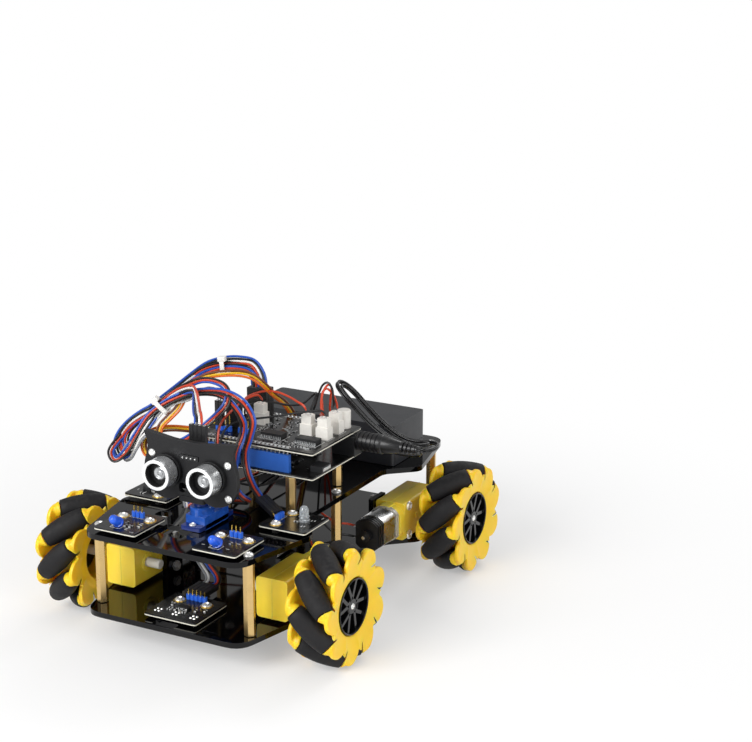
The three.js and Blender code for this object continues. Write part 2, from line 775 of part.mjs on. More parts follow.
function bracketFace() {
  const w = bracketHalfWidth;
  const h = bracketHeight;
  return roundedShape([
    [-w * 0.62, 0, 3],
    [w * 0.62, 0, 3],
    [w * 0.93, h * 0.16, 4],
    [w * 0.93, h * 0.62, 3],
    [w, h, 3],
    [w * 0.55, h * 0.9, 6],
    [-w * 0.55, h * 0.9, 6],
    [-w, h, 3],
    [-w * 0.93, h * 0.62, 3],
    [-w * 0.93, h * 0.16, 4],
  ]);
}

function sensorBracket() {
  const geometry = extruded(bracketFace(), bracketPlate, 3);
  geometry.rotateX(Math.PI / 2);
  geometry.translate(headX, bracketFaceY + bracketPlate, bracketBottom);
  let plate = solid(geometry);
  for (const side of [-1, 1]) {
    const x = headX + (side * eyeSpacing) / 2;
    plate = cut(plate, spigot(eyeRadius + seatGap, bracketPlate + 2, 24, x, bracketFaceY - 1, eyeZ));
    for (const up of [-1, 1]) {
      const sx = headX + side * bracketScrewX;
      const sz = eyeZ - bracketScrewDrop + (up * bracketScrewSpacing) / 2;
      plate = plate.add(spigot(2, 1.6, 8, sx, bracketFaceY - 1.1, sz));
    }
  }
  const base = block(16, bracketFront + 6, bracketPlate, headX, headY + 3 - bracketFront / 2, bracketBottom);
  const horn = upright(hornRadius, hornThickness + 0.5, 12, headX, headY, hornBottom);
  return part("sensor_bracket", join(plate, base, horn), blackAcrylic);
}

function ultrasonicSensor() {
  const behind = bracketFaceY + bracketPlate + seatGap;
  const bottom = eyeZ - sensorHeight / 2;
  let made = block(sensorWidth, boardThickness, sensorHeight, headX, behind + boardThickness / 2, bottom);
  for (const side of [-1, 1]) {
    const x = headX + (side * eyeSpacing) / 2;
    const front = bracketFaceY - eyeLength;
    const can = spigot(eyeRadius, eyeLength + bracketPlate + 1, 24, x, front, eyeZ);
    const dish = spigot(eyeDish, eyeDishDepth + 1, 16, x, front - 1, eyeZ);
    made = join(made, cut(can, dish));
  }
  const socketBottom = bottom + sensorHeight - 6;
  const socket = block(4 * headerPitch, 6, headerPitch, headX, behind + boardThickness + 2.5, socketBottom);
  return part("ultrasonic_sensor", join(made, socket), brightMetal);
}

// Small boards, drawn about their own middle with their front towards -Y, then turned and placed
function moduleSolids(kind) {
  const top = moduleSpacer + boardThickness;
  const pieces = [];
  pieces.push(pcb(moduleWidth, moduleDepth, 0, 0, moduleSpacer));
  pieces.push(header(3, -0.5, 8.5, top - 0.5, headerPitch + 0.5));
  for (let i = -1; i <= 1; i++) pieces.push(block(0.7, 0.7, 8.5, -0.5 + i * headerPitch, 8.5, top - 0.5));
  for (const side of [-1, 1]) {
    const x = (side * moduleScrewSpacing) / 2;
    pieces.push(upright(2.6, 2.3, 8, x, 6, top - 0.5));
    pieces.push(upright(2.2, moduleSpacer, 6, x, 6, 0.1));
  }
  if (kind === "lamp") {
    pieces.push(upright(1.6, 3, 6, -2, -8, top - 0.5));
    const tilted = new THREE.CylinderGeometry(ledRadius, ledRadius, ledHeight, 10);
    tilted.rotateX(Math.PI / 2).translate(0, 0, ledHeight / 2 - 1).rotateX(0.95);
    pieces.push(solid(tilted.translate(-2, -8, top + 2.2)));
  }
  if (kind === "receiver") pieces.push(upright(ledRadius, ledHeight + 1.5, 10, 2, -5, top - 0.5));
  if (kind === "buzzer") pieces.push(upright(4.6, 2.6, 16, 0, -5, top - 0.5));
  return pieces;
}

function turned(made, x, y, z, angle) {
  const mesh = made.getMesh();
  const positions = new THREE.BufferAttribute(new Float32Array(mesh.vertProperties), 3);
  const geometry = new THREE.BufferGeometry().setAttribute("position", positions);
  geometry.setIndex(new THREE.BufferAttribute(new Uint32Array(mesh.triVerts), 1));
  return solid(geometry.rotateZ(angle).translate(x, y, z));
}

function smallModule(name, kind, place, angle) {
  const made = join(...moduleSolids(kind));
  const y = place.fromFront - deckFront;
  return part(name, turned(made, place.x, y, upperDeckTop + seatGap - 0.1, angle), blackBoard);
}

function lineTracker() {
  const x = trackerPlace.x;
  const y = trackerPlace.fromFront - deckFront;
  const bottom = lowerDeckTop + seatGap + moduleSpacer;
  const top = bottom + boardThickness;
  const pieces = [pcb(trackerWidth, trackerDepth, x, y, bottom)];
  pieces.push(header(5, x, y + 10.5, top - 0.5, headerPitch + 0.5));
  for (let i = -2; i <= 2; i++) {
    pieces.push(block(0.7, 0.7, 8.5, x + i * headerPitch, y + 10.5, top - 0.5));
  }
  for (const side of [-1, 1]) {
    const screwX = x + (side * moduleScrewSpacing) / 2;
    pieces.push(upright(2.6, 2.3, 8, screwX, y + 7, top - 0.5));
    pieces.push(upright(2.2, moduleSpacer + 0.1, 6, screwX, y + 7, lowerDeckTop + seatGap));
  }
  for (const side of [-1, 0, 1]) pieces.push(block(4, 3, 2.6, x + side * 13, y - 9, bottom - 0.9));
  return part("line_tracker", join(...pieces), blackBoard);
}

// The bundle of sensor wires: from the shield's plugs over the top, round the left side and back.
// Its middle line, from the middle of the shield's upper face
const loomPoints = [
  [-27.1, 20.6, 17.1],
  [-27.1, 20.6, 18.2],
  [-27.4, 20.6, 21.2],
  [-31.1, 20.1, 25.2],
  [-39.1, 17.6, 27.7],
  [-48.1, 12.6, 27.7],
  [-57.1, 5.6, 24.7],
  [-63.1, -1.4, 18.2],
  [-70.1, -11.4, 10.2],
  [-79.1, -22.4, 1.2],
  [-86.1, -31.4, -7.8],
  [-88.1, -38.4, -14.8],
  [-83.1, -41.4, -17.8],
  [-77.1, -39.4, -12.8],
  [-73.1, -35.4, -3.8],
  [-67.1, -30.4, 7.2],
  [-58.1, -26.4, 14.7],
  [-45.1, -23.4, 21.2],
  [-31.1, -23.9, 24.7],
  [-17.1, -26.9, 25.7],
  [-6.1, -28.9, 22.2],
  [0.1, -30.4, 14.2],
  [-1.3, -31.2, 5.2],
  [-4.1, -31.7, -3.8],
  [-3.3, -32, -12.8],
  [1.4, -34.2, -20.3],
  [8.9, -38.4, -24.8],
];

function wireLoom() {
  const place = ([x, y, z]) => new THREE.Vector3(boardX + x, boardY + y, shieldTop + z);
  const path = new THREE.CatmullRomCurve3(loomPoints.map(place));
  return part("wire_loom", tubeAlong(path, loomRadius, cordSides, loomSteps), wireCover);
}

// The whole car
const car = new THREE.Group();
for (const corner of wheelCorners) {
  car.add(wheel(corner));
  car.add(gearMotor(corner));
}
car.add(lowerDeck(), upperDeck());
car.add(controllerBoard(), driverShield());
car.add(batteryCase(), dcPlug(), batteryLead());
car.add(servoMotor(), sensorBracket(), ultrasonicSensor());
car.add(smallModule("led_module_left", "lamp", leftLampPlace, 0));
car.add(smallModule("led_module_right", "lamp", rightLampPlace, 0));
car.add(smallModule("receiver_module", "receiver", receiverPlace, Math.PI / 2));
car.add(smallModule("buzzer_module", "buzzer", buzzerPlace, -Math.PI / 2));
car.add(lineTracker());
car.add(wireLoom());

export default car;
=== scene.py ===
import math
import random

import bmesh
import bpy
from mathutils import Matrix, Vector
from mathutils.geometry import tessellate_polygon


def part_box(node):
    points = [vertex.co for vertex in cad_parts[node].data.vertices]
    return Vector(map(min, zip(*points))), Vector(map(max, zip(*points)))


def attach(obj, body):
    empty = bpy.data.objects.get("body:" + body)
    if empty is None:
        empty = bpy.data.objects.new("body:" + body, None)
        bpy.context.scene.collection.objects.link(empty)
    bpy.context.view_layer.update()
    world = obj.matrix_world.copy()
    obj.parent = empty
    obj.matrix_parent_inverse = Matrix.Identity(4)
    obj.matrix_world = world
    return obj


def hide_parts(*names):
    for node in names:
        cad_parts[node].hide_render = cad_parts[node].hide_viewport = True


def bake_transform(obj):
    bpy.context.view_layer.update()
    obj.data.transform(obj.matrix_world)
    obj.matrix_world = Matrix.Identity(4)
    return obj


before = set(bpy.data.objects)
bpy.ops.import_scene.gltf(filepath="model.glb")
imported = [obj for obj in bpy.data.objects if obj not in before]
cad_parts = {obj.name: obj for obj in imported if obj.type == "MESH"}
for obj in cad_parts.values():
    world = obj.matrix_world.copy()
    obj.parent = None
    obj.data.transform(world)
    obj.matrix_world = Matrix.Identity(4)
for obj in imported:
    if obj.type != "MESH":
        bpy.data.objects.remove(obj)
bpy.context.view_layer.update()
scene = bpy.context.scene
mm = 0.001  # the pieces below are drawn in millimetres

# Camera at the photograph's place, about a metre away on a short telephoto lens
view = {"aim": (0.0398, 0.0440, 0.1208), "distance": 0.9912, "azimuth": 28.3, "elevation": 15.9, "lens": 84.2}


def setCamera():
    turn = math.radians(view["azimuth"])
    rise = math.radians(view["elevation"])
    back = Vector((math.sin(turn) * math.cos(rise), -math.cos(turn) * math.cos(rise), math.sin(rise)))
    data = bpy.data.cameras.new("photo view")
    data.lens = view["lens"]
    data.sensor_width = 36
    camera = bpy.data.objects.new("photo view", data)
    camera.location = Vector(view["aim"]) + back * view["distance"]
    camera.rotation_euler = back.to_track_quat("Z", "Y").to_euler()
    scene.collection.objects.link(camera)
    scene.camera = camera


setCamera()
print("camera set")

# Node groups shared by the materials


def addNode(tree, kind, inputs=(), **settings):
    node = tree.nodes.new("ShaderNode" + kind)
    for key, value in settings.items():
        setattr(node, key, value)
    for key, value in dict(inputs).items():
        node.inputs[key].default_value = value
    return node


def joinNodes(tree, nodes, links):
    # a link reads "node.output > node.input", with each socket's name or number
    for link in links:
        (start, leaving), (end, entering) = (half.split(".") for half in link.split(" > "))
        leaving, entering = (int(name) if name.isdigit() else name for name in (leaving, entering))
        tree.links.new(nodes[start].outputs[leaving], nodes[end].inputs[entering])


def newGroup(name, inputs, outputs, parts, links):
    # parts are (kind, values of its inputs, settings) by name
    group = bpy.data.node_groups.new(name, "ShaderNodeTree")
    for label, kind, value in inputs:
        socket = group.interface.new_socket(label, in_out="INPUT", socket_type="NodeSocket" + kind)
        socket.default_value = value
    for label, kind in outputs:
        group.interface.new_socket(label, in_out="OUTPUT", socket_type="NodeSocket" + kind)
    nodes = {"given": group.nodes.new("NodeGroupInput"), "made": group.nodes.new("NodeGroupOutput")}
    for label, (kind, values, settings) in parts.items():
        nodes[label] = addNode(group, kind, values, **settings)
    joinNodes(group, nodes, links)
    return group


mottleGroup = newGroup(  # cloudy colour, and a 0 to 1 value for the roughness
    "moulding mottle",
    [("Colour", "Color", (1, 1, 1, 1)), ("Size", "Float", 120), ("Contrast", "Float", 0.12)],
    [("Colour", "Color"), ("Value", "Float")],
    {
        "place": ("TexCoord", {}, {}),
        "cloud": ("TexNoise", {"Detail": 5, "Roughness": 0.62}, {}),
        "low": ("Math", {0: 1}, {"operation": "SUBTRACT"}),
        "high": ("Math", {0: 1}, {"operation": "ADD"}),
        "swing": ("MapRange", {"From Min": 0.3, "From Max": 0.7}, {}),
        "darker": ("HueSaturation", {}, {}),
    },
    ["place.Object > cloud.Vector", "given.Size > cloud.Scale", "given.Contrast > low.1",
     "given.Contrast > high.1", "cloud.Fac > swing.Value", "low.0 > swing.To Min", "high.0 > swing.To Max",
     "given.Colour > darker.Color", "swing.Result > darker.Value", "darker.Color > made.Colour",
     "cloud.Fac > made.Value"],
)
grainGroup = newGroup(
    "fine grain", [("Size", "Float", 2500), ("Depth", "Float", 0.1)], [("Normal", "Vector")],
    {
        "place": ("TexCoord", {}, {}),
        "grain": ("TexNoise", {"Detail": 3}, {}),
        "bump": ("Bump", {"Distance": 0.0002}, {}),
    },
    ["place.Object > grain.Vector", "given.Size > grain.Scale", "grain.Fac > bump.Height",
     "given.Depth > bump.Strength", "bump.Normal > made.Normal"],
)
edgeGroup = newGroup(  # 1 on sharp outer edges, from the way a rounded normal turns away from the true one
    "edge wear", [("Radius", "Float", 0.0005)], [("Mask", "Float")],
    {
        "rounded": ("Bevel", {}, {"samples": 4}),
        "true": ("NewGeometry", {}, {}),
        "alike": ("VectorMath", {}, {"operation": "DOT_PRODUCT"}),
        "place": ("TexCoord", {}, {}),
        "broken": ("TexNoise", {"Scale": 900}, {}),
        "worn": ("MapRange", {"From Min": 0.98, "From Max": 0.8}, {}),
        "mask": ("Math", {}, {"operation": "MULTIPLY"}),
    },
    ["given.Radius > rounded.Radius", "rounded.Normal > alike.0", "true.Normal > alike.1",
     "alike.Value > worn.Value", "place.Object > broken.Vector", "worn.Result > mask.0",
     "broken.Fac > mask.1", "mask.0 > made.Mask"],
)
dustGroup = newGroup(  # thin dust on what faces up
    "settled dust", [("Amount", "Float", 0.2)], [("Mask", "Float")],
    {
        "facing": ("NewGeometry", {}, {}),
        "parts": ("SeparateXYZ", {}, {}),
        "place": ("TexCoord", {}, {}),
        "specks": ("TexNoise", {"Scale": 420, "Detail": 6}, {}),
        "upward": ("MapRange", {"From Min": 0.3}, {}),
        "patch": ("MapRange", {"From Min": 0.45, "From Max": 0.75}, {}),
        "both": ("Math", {}, {"operation": "MULTIPLY"}),
        "mask": ("Math", {}, {"operation": "MULTIPLY"}),
    },
    ["facing.Normal > parts.0", "parts.Z > upward.Value", "place.Object > specks.Vector",
     "specks.Fac > patch.Value", "upward.Result > both.0", "patch.Result > both.1", "both.0 > mask.0",
     "given.Amount > mask.1", "mask.0 > made.Mask"],
)


def useGroup(tree, group, **values):
    node = tree.nodes.new("ShaderNodeGroup")
    node.node_tree = group
    for key, value in values.items():
        node.inputs[key].default_value = value
    return node


def blendColour(tree, factor, under, over):
    mix = addNode(tree, "Mix", data_type="RGBA")
    tree.links.new(factor, mix.inputs["Factor"])
    tree.links.new(under, mix.inputs["A"])
    mix.inputs["B"].default_value = over
    return mix.outputs["Result"]


def linear(colour):
    # a #rrggbb colour as the shader's own numbers
    values = [int(colour[i : i + 2], 16) / 255 for i in (1, 3, 5)]
    return [v / 12.92 if v < 0.04045 else ((v + 0.055) / 1.055) ** 2.4 for v in values] + [1]


def surface(name, colour, rough, contrast=0.1, size=120, grain=2500, depth=0.1, edge=None, dust=0.0,
            **sockets):
    # a moulded, painted or metal surface; rough is (lowest, highest), edge the colour of worn edges
    material = bpy.data.materials.new(name)
    material.use_nodes = True
    tree = material.node_tree
    shader = tree.nodes["Principled BSDF"]
    link = tree.links.new
    cloud = useGroup(tree, mottleGroup, Colour=linear(colour), Size=size, Contrast=contrast)
    colourSocket = cloud.outputs["Colour"]
    if edge:
        worn = useGroup(tree, edgeGroup)
        colourSocket = blendColour(tree, worn.outputs["Mask"], colourSocket, linear(edge))
    if dust:
        settled = useGroup(tree, dustGroup, Amount=dust)
        colourSocket = blendColour(tree, settled.outputs["Mask"], colourSocket, linear("#b9b4aa"))
    link(colourSocket, shader.inputs["Base Color"])
    levels = {"From Min": 0.3, "From Max": 0.7, "To Min": rough[0], "To Max": rough[1]}
    spread = addNode(tree, "MapRange", levels)
    link(cloud.outputs["Value"], spread.inputs["Value"])
    link(spread.outputs["Result"], shader.inputs["Roughness"])
    if depth:
        fine = useGroup(tree, grainGroup, Size=grain, Depth=depth)
        link(fine.outputs["Normal"], shader.inputs["Normal"])
    for socket, value in sockets.items():
        shader.inputs[socket.replace("_", " ")].default_value = value
    return material


# Materials, each named for what it is on the car
hubYellow = surface("hub yellow plastic", "#f8c81c", (0.36, 0.5), 0.04, 60, 1800, 0.08, "#fbe27a", 0.02,
                    Subsurface_Weight=0.4, Subsurface_Scale=0.006)
rollerRubber = surface("roller rubber", "#151416", (0.6, 0.78), 0.07, 160, 2600, 0.25, "#242325", 0.03,
                       Specular_IOR_Level=0.35)
gearboxYellow = surface("gearbox yellow plastic", "#f8d840", (0.3, 0.44), 0.06, 80, 1500, 0.12, "#f9e888",
                        0.03, Subsurface_Weight=0.2, Subsurface_Scale=0.004)
insertBlack = surface("wheel insert black", "#0a0a0c", (0.08, 0.18), 0.1, 200, 1500, 0.04, "#26262a")
shaftWhite = surface("shaft white nylon", "#dcd9d0", (0.35, 0.5), 0.06)
deckAcrylic = surface("deck black acrylic", "#030304", (0.03, 0.08), 0.2, 30, 900, 0.01, "#2a2b30", 0.0,
                      Specular_IOR_Level=0.3)
bracketBlack = surface("bracket matt black", "#171719", (0.46, 0.6), 0.06, 200, 2400, 0.1, "#3a3b3f", 0.02,
                       Specular_IOR_Level=0.35)
brass = surface("standoff brass", "#dcbc80", (0.24, 0.36), 0.07, 160, 900, 0.015, "#f4e4bc", Metallic=1)
screwSteel = surface("screw bright steel", "#eeeeec", (0.2, 0.34), 0.08, 300, 1500, 0.08, "#ffffff",
                     Metallic=0.7)
motorSteel = surface("motor can steel", "#c9cacb", (0.18, 0.32), 0.08, 160, 900, 0.06, "#ffffff", Metallic=1)
capBlack = surface("motor end cap", "#0f0f11", (0.3, 0.42), 0.1)
strapClear = surface("clear nylon strap", "#e4e2da", (0.12, 0.25), 0.05, Transmission_Weight=0.6, IOR=1.5)
maskBlack = surface("board black solder mask", "#0a0b0c", (0.16, 0.28), 0.35, 240, 700, 0.2, None, 0.03)
boardEdge = surface("board cut edge", "#dbd8ca", (0.5, 0.65), 0.12, 600)
markWhite = surface("white board marks", "#dfe0de", (0.5, 0.6), 0.06, 800)
chipBlack = surface("chip black resin", "#17181a", (0.45, 0.6), 0.12, 500, 3000, 0.15)
tinned = surface("tinned solder", "#cfd1d2", (0.22, 0.4), 0.12, 900, 1500, 0.2, Metallic=0.9)
goldPin = surface("gold header pin", "#e2bf5c", (0.2, 0.32), 0.08, 600, Metallic=1)
headerBlue = surface("header blue plastic", "#2a66d8", (0.35, 0.48), 0.08, 500)
socketBlue = surface("female socket blue plastic", "#2c63bd", (0.4, 0.52), 0.05, 300)
headerBlack = surface("header black plastic", "#141416", (0.38, 0.52), 0.1, 500)
socketWhite = surface("socket white nylon", "#e6e3dc", (0.35, 0.5), 0.05, 400)
ledBlue = surface("blue lamp lens", "#2f6cf2", (0.05, 0.12), 0.2, 600, 900, 0.5, Transmission_Weight=0.3,
                  IOR=1.5)
ledClear = surface("clear receiver lens", "#e8eef2", (0.04, 0.1), 0.04, Transmission_Weight=0.75, IOR=1.5)
servoBlue = surface("servo blue shell", "#2c64cc", (0.06, 0.16), 0.3, 240, Transmission_Weight=0.35, IOR=1.49)
servoDark = surface("servo navy tabs", "#162c70", (0.1, 0.22), 0.06)
canSteel = surface("sensor can brushed steel", "#e6e8ea", (0.2, 0.34), 0.06, 300, 1800, 0.06, Metallic=0.8)
canRim = surface("sensor can bright rim", "#f8f9f9", (0.22, 0.32), 0.03, 300, Metallic=0.3)
canDark = surface("sensor can inside", "#0e0e10", (0.4, 0.6), 0.2, 900, 1200, 0.4)
coneSilver = surface("sensor transducer", "#c4c6c8", (0.24, 0.4), 0.15, 700, 2000, 0.3, Metallic=0.8)
caseGrey = surface("battery case grey plastic", "#1d1f24", (0.4, 0.5), 0.04, 60, 1500, 0.2, "#34363c", 0.02)
plugRubber = surface("plug black vinyl", "#0f0f11", (0.3, 0.42), 0.1, 200, 1500, 0.1, "#303034", 0.04)
leadVinyl = surface("lead black vinyl", "#0d0d0f", (0.24, 0.36), 0.1, 200, 1500, 0.06)
tieWhite = surface("white cable tie", "#ecebe6", (0.35, 0.5), 0.04)


def wireMaterial(name, colour):
    return surface(name + " wire", colour, (0.32, 0.46), 0.08, 260, 1800, 0.08)


wireColours = {
    "blue": "#2450b0",
    "red": "#bf3c1c",
    "black": "#161618",
    "yellow": "#e6b31c",
    "orange": "#dd6a1a",
    "brown": "#6a3a22",
    "white": "#e6e5e1",
    "grey": "#8d8f93",
}
wires = {name: wireMaterial(name, colour) for name, colour in wireColours.items()}
print("materials made")

# Mesh helpers: each adds a closed shape to a bmesh, with its finish as a material slot's number
pitch = 2.54  # between the pins of a row
square = [(-1, -1), (1, -1), (1, 1), (-1, 1)]
boxFaces = [(3, 2, 1, 0), (4, 5, 6, 7), (0, 1, 5, 4), (1, 2, 6, 5), (2, 3, 7, 6), (3, 0, 4, 7)]


def pinSteps(count):
    return [(i - (count - 1) / 2) * pitch for i in range(count)]


def addFaces(bm, points, faces, finish=0, place=None, walls=(), edge=0):
    if place is not None:
        points = [place @ Vector(p) for p in points]
    verts = [bm.verts.new(p) for p in points]
    for group, slot in ((faces, finish), (walls, edge)):
        for f in group:
            face = bm.faces.new([verts[i] for i in f])
            face.material_index = slot
            face.smooth = True


def addBlock(bm, size, at, finish=0, place=None):
    # a box from the middle of its bottom
    w, d, h = size
    x, y, z = at
    points = [(x + a * w / 2, y + b * d / 2, z + up) for up in (0, h) for a, b in square]
    addFaces(bm, points, boxFaces, finish, place)


def addTurned(bm, profile, origin, axis, finish=0, sides=24):
    # a turned shape: profile is a list of (distance along the axis, radius), closed at both ends, or a ring
    # where it comes back to its first point
    closed = profile[0] == profile[-1]
    way = Vector(axis).normalized()
    across = way.orthogonal().normalized()
    if abs(way.z) < 0.9:
        across = way.cross(Vector((0, 0, 1))).normalized()
    other = way.cross(across)
    points, rings, faces = [], [], []
    for distance, radius in profile[:-1] if closed else profile:
        middle = Vector(origin) + way * distance
        count = sides if radius else 1
        rings.append([len(points) + i for i in range(count)])
        for i in range(count):
            angle = 2 * math.pi * i / sides
            points.append(middle + (across * math.cos(angle) + other * math.sin(angle)) * radius)
    for low, high in zip(rings, rings[1:] + rings[:1] if closed else rings[1:]):
        for i in range(sides):
            j = (i + 1) % sides
            quad = (low[i % len(low)], low[j % len(low)], high[j % len(high)], high[i % len(high)])
            face = tuple(dict.fromkeys(quad))  # a triangle where a ring is one point
            if len(face) > 2:
                faces.append(face)
    if not closed:
        faces += [cap for cap in (tuple(reversed(rings[0])), tuple(rings[-1])) if len(cap) > 1]
    addFaces(bm, points, faces, finish)


def addRound(bm, radius, start, end, finish=0, sides=20, rim=0.15):
    # a round bar from one point to another, with its rims broken
    way = Vector(end) - Vector(start)
    rim = min(rim, radius / 3, way.length / 3)
    profile = [(0, radius - rim), (rim, radius), (way.length - rim, radius), (way.length, radius - rim)]
    addTurned(bm, profile, start, way, finish, sides)


def addPlate(bm, outline, bottom, top, finish=0, edge=None, holes=(), place=None):
    # a flat plate with holes, upright walls, and an edge finish of its own
    loops = []
    for i, loop in enumerate([outline, *holes]):
        area = sum(a[0] * b[1] - b[0] * a[1] for a, b in zip(loop, loop[1:] + loop[:1]))
        turned = list(loop) if (area > 0) == (i == 0) else list(reversed(loop))
        loops.append([Vector((x, y, 0)) for x, y in turned])
    flat = [p for loop in loops for p in loop]
    count = len(flat)
    points = [(p.x, p.y, level) for level in (bottom, top) for p in flat]
    caps, walls = [], []
    for a, b, c in tessellate_polygon(loops):
        if (flat[b] - flat[a]).cross(flat[c] - flat[a]).z < 0:
            b, c = c, b
        caps += [(c, b, a), (a + count, b + count, c + count)]
    first = 0
    for loop in loops:
        following = [*range(first + 1, first + len(loop)), first]
        walls += [(a, b, b + count, a + count) for a, b in zip(range(first, first + len(loop)), following)]
        first += len(loop)
    addFaces(bm, points, caps, finish, place, walls, finish if edge is None else edge)


def roundedOutline(corners, steps=5):
    # corners are (x, y, radius)
    outline = []
    for i, (x, y, radius) in enumerate(corners):
        here = Vector((x, y))
        last = Vector(corners[i - 1][:2]) - here
        following = Vector(corners[(i + 1) % len(corners)][:2]) - here
        start = here + last.normalized() * radius
        end = here + following.normalized() * radius
        for k in range(steps + 1):
            t = k / steps
            point = start * (1 - t) ** 2 + here * 2 * t * (1 - t) + end * t**2
            outline.append((point.x, point.y))
    return outline


def roundedBox(x, y, w, d, radius=1.0):
    a, b = w / 2, d / 2
    return roundedOutline(
        [(x - a, y - b, radius), (x + a, y - b, radius), (x + a, y + b, radius), (x - a, y + b, radius)], 4
    )


def circle(x, y, radius, sides=24):
    turns = [2 * math.pi * i / sides for i in range(sides)]
    return [(x + radius * math.cos(a), y + radius * math.sin(a)) for a in turns]


def addScrew(bm, at, axis, radius=2.8, height=1.9, finish=0):
    # a domed screw head with a cross slot sunk in it; axis points out of the surface
    dome = [(0, 0.96), (0.3, 1), (0.7, 0.82), (0.9, 0.5)]
    slot = [(0.9, 0.42), (0.45, 0.28), (0.4, 0)]
    profile = [(-0.2, radius * 0.9)] + [(height * up, radius * out) for up, out in dome + slot]
    addTurned(bm, profile, at, axis, finish, 20)


def makePiece(name, bm, materials, body, nodes=(), bevel=0.2):
    bmesh.ops.scale(bm, vec=(mm, mm, mm), verts=bm.verts)
    mesh = bpy.data.meshes.new(name)
    bm.to_mesh(mesh)
    bm.free()
    for material in materials:
        mesh.materials.append(material)
    mesh.set_sharp_from_angle(angle=math.radians(38))
    piece = bpy.data.objects.new(name, mesh)
    scene.collection.objects.link(piece)
    if bevel:
        rounding = piece.modifiers.new("broken edges", "BEVEL")
        rounding.width = bevel * mm
        rounding.segments = 2
        rounding.limit_method = "ANGLE"
        rounding.angle_limit = math.radians(40)
        rounding.harden_normals = True
    if body:
        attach(piece, body)
    if nodes:
        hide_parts(*([nodes] if isinstance(nodes, str) else nodes))
    return piece


def nodeBox(node):
    low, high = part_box(node)
    return Vector(low) / mm, Vector(high) / mm


# Wires and cords, which come first because their routes were settled with the part
facing = Vector((0.45, -0.85, 0.27))  # the way that the flat side of most ribbons faces


def smoothLine(points, step=1.2):  # the curve that the part's own cords follow, in even steps
    points = [Vector(p) for p in points]
    ends = [points[0] * 2 - points[1], *points, points[-1] * 2 - points[-2]]
    dense = []
    for a, b, c, d in zip(ends, ends[1:], ends[2:], ends[3:]):
        before, middle, after = (math.sqrt((q - p).length) for p, q in ((a, b), (b, c), (c, d)))
        leave = ((b - a) / before - (c - a) / (before + middle) + (c - b) / middle) * middle
        arrive = ((c - b) / middle - (d - b) / (middle + after) + (d - c) / after) * middle
        for i in range(24):
            t = i / 24
            bend = (c - b) * 3 - leave * 2 - arrive
            dense.append(b + leave * t + bend * t**2 + ((b - c) * 2 + leave + arrive) * t**3)
    dense.append(points[-1])
    return evenly(dense, step)


def evenly(line, step):
    lengths = [0]
    for a, b in zip(line, line[1:]):
        lengths.append(lengths[-1] + (b - a).length)
    count = max(4, round(lengths[-1] / step))
    made, at = [], 0
    for i in range(count + 1):
        want = lengths[-1] * i / count
        while at < len(line) - 2 and lengths[at + 1] < want:
            at += 1
        share = (want - lengths[at]) / max(1e-9, lengths[at + 1] - lengths[at])
        made.append(line[at].lerp(line[at + 1], min(1, share)))
    return made


def lineLength(line):
    return sum((b - a).length for a, b in zip(line, line[1:]))


def carriedFrames(line, side, flatTo=None):
    # each point with its side and upward directions, carried along without twist or turned to face one way
    frames, sideways, last = [], Vector(side), None
    for i, point in enumerate(line):
        way = (line[min(i + 1, len(line) - 1)] - line[max(i - 1, 0)]).normalized()
        if last is not None:
            sideways = last.rotation_difference(way) @ sideways
        if flatTo is not None:
            wanted = way.cross(flatTo)
            if wanted.dot(sideways) < 0:
                wanted = -wanted
            share = 0.22 if last is not None else 1
            sideways = sideways * (1 - share * wanted.length) + wanted * share
        sideways = (sideways - way * sideways.dot(way)).normalized()
        frames.append((point, sideways, way.cross(sideways)))
        last = way
    return frames


def addStrand(bm, frames, radius, offset, finish=0, sides=8, wander=0.0, phase=0.0):
    # one round wire beside the line, closed at both ends
    count = len(frames)
    rings, points = [], []
    for i, (point, sideways, upward) in enumerate(frames):
        reach = radius * (0.55 if i in (0, count - 1) else 1)
        drift = wander * max(0, math.sin(math.pi * i / (count - 1))) ** 0.5
        middle = point + sideways * (offset + drift * math.sin(i * 0.16 + phase))
        middle += upward * drift * 1.6 * math.sin(i * 0.11 + phase * 2.3)
        rings.append([len(points) + k for k in range(sides)])
        for k in range(sides):
            angle = 2 * math.pi * k / sides
            points.append(middle + (sideways * math.cos(angle) + upward * math.sin(angle)) * reach)
    faces = [tuple(reversed(rings[0])), tuple(rings[-1])]
    for low, high in zip(rings, rings[1:]):
        faces += [(low[k], low[(k + 1) % sides], high[(k + 1) % sides], high[k]) for k in range(sides)]
    addFaces(bm, points, faces, finish)


def makeCord(name, points, colours, radius, side=(1, 0, 0), pitch=None, withPieces=(), nodes=(),
             slot="wire_cover", lay="loose", stiffness="limp", farEnd="plug", sides=8, flatTo=None,
             wander=0.0, bend=None):
    # one or more round wires side by side; the width over all of them is the cord's diameter
    line = smoothLine(points)
    frames = carriedFrames(line, side, flatTo)
    pitch = pitch or 1.9 * radius
    bm = bmesh.new()
    for i in range(len(colours)):
        offset = (i - (len(colours) - 1) / 2) * pitch
        addStrand(bm, frames, radius, offset, i, sides, wander, i * 1.7 + len(points))
    piece = makePiece(name, bm, colours, None if bend else "chassis", nodes, bevel=0)
    if bend:  # it is given no body, its place baked into its points
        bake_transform(piece)
    print(name, "is", round(lineLength(line)), "mm long")
    return piece


# Battery lead: two long loops, one inside the other, behind the plug
leadStart = Vector((87.0, 5.6, 92.4))
leadLook = {"radius": 0.68, "pitch": 1.3, "foldRadius": 6.3, "foldPitch": 2.75}
foldSpine = [Vector(p) for p in (
    (76.5, 22.3, 89.8), (72, 22.3, 89.6), (67, 22.2, 90.3), (60.2, 22.4, 92.8),
    (51.9, 22.8, 97.6), (42.2, 23.4, 105), (33.8, 24, 112),
)]
foldAcross = Vector((-0.093, 0.972, -0.217))


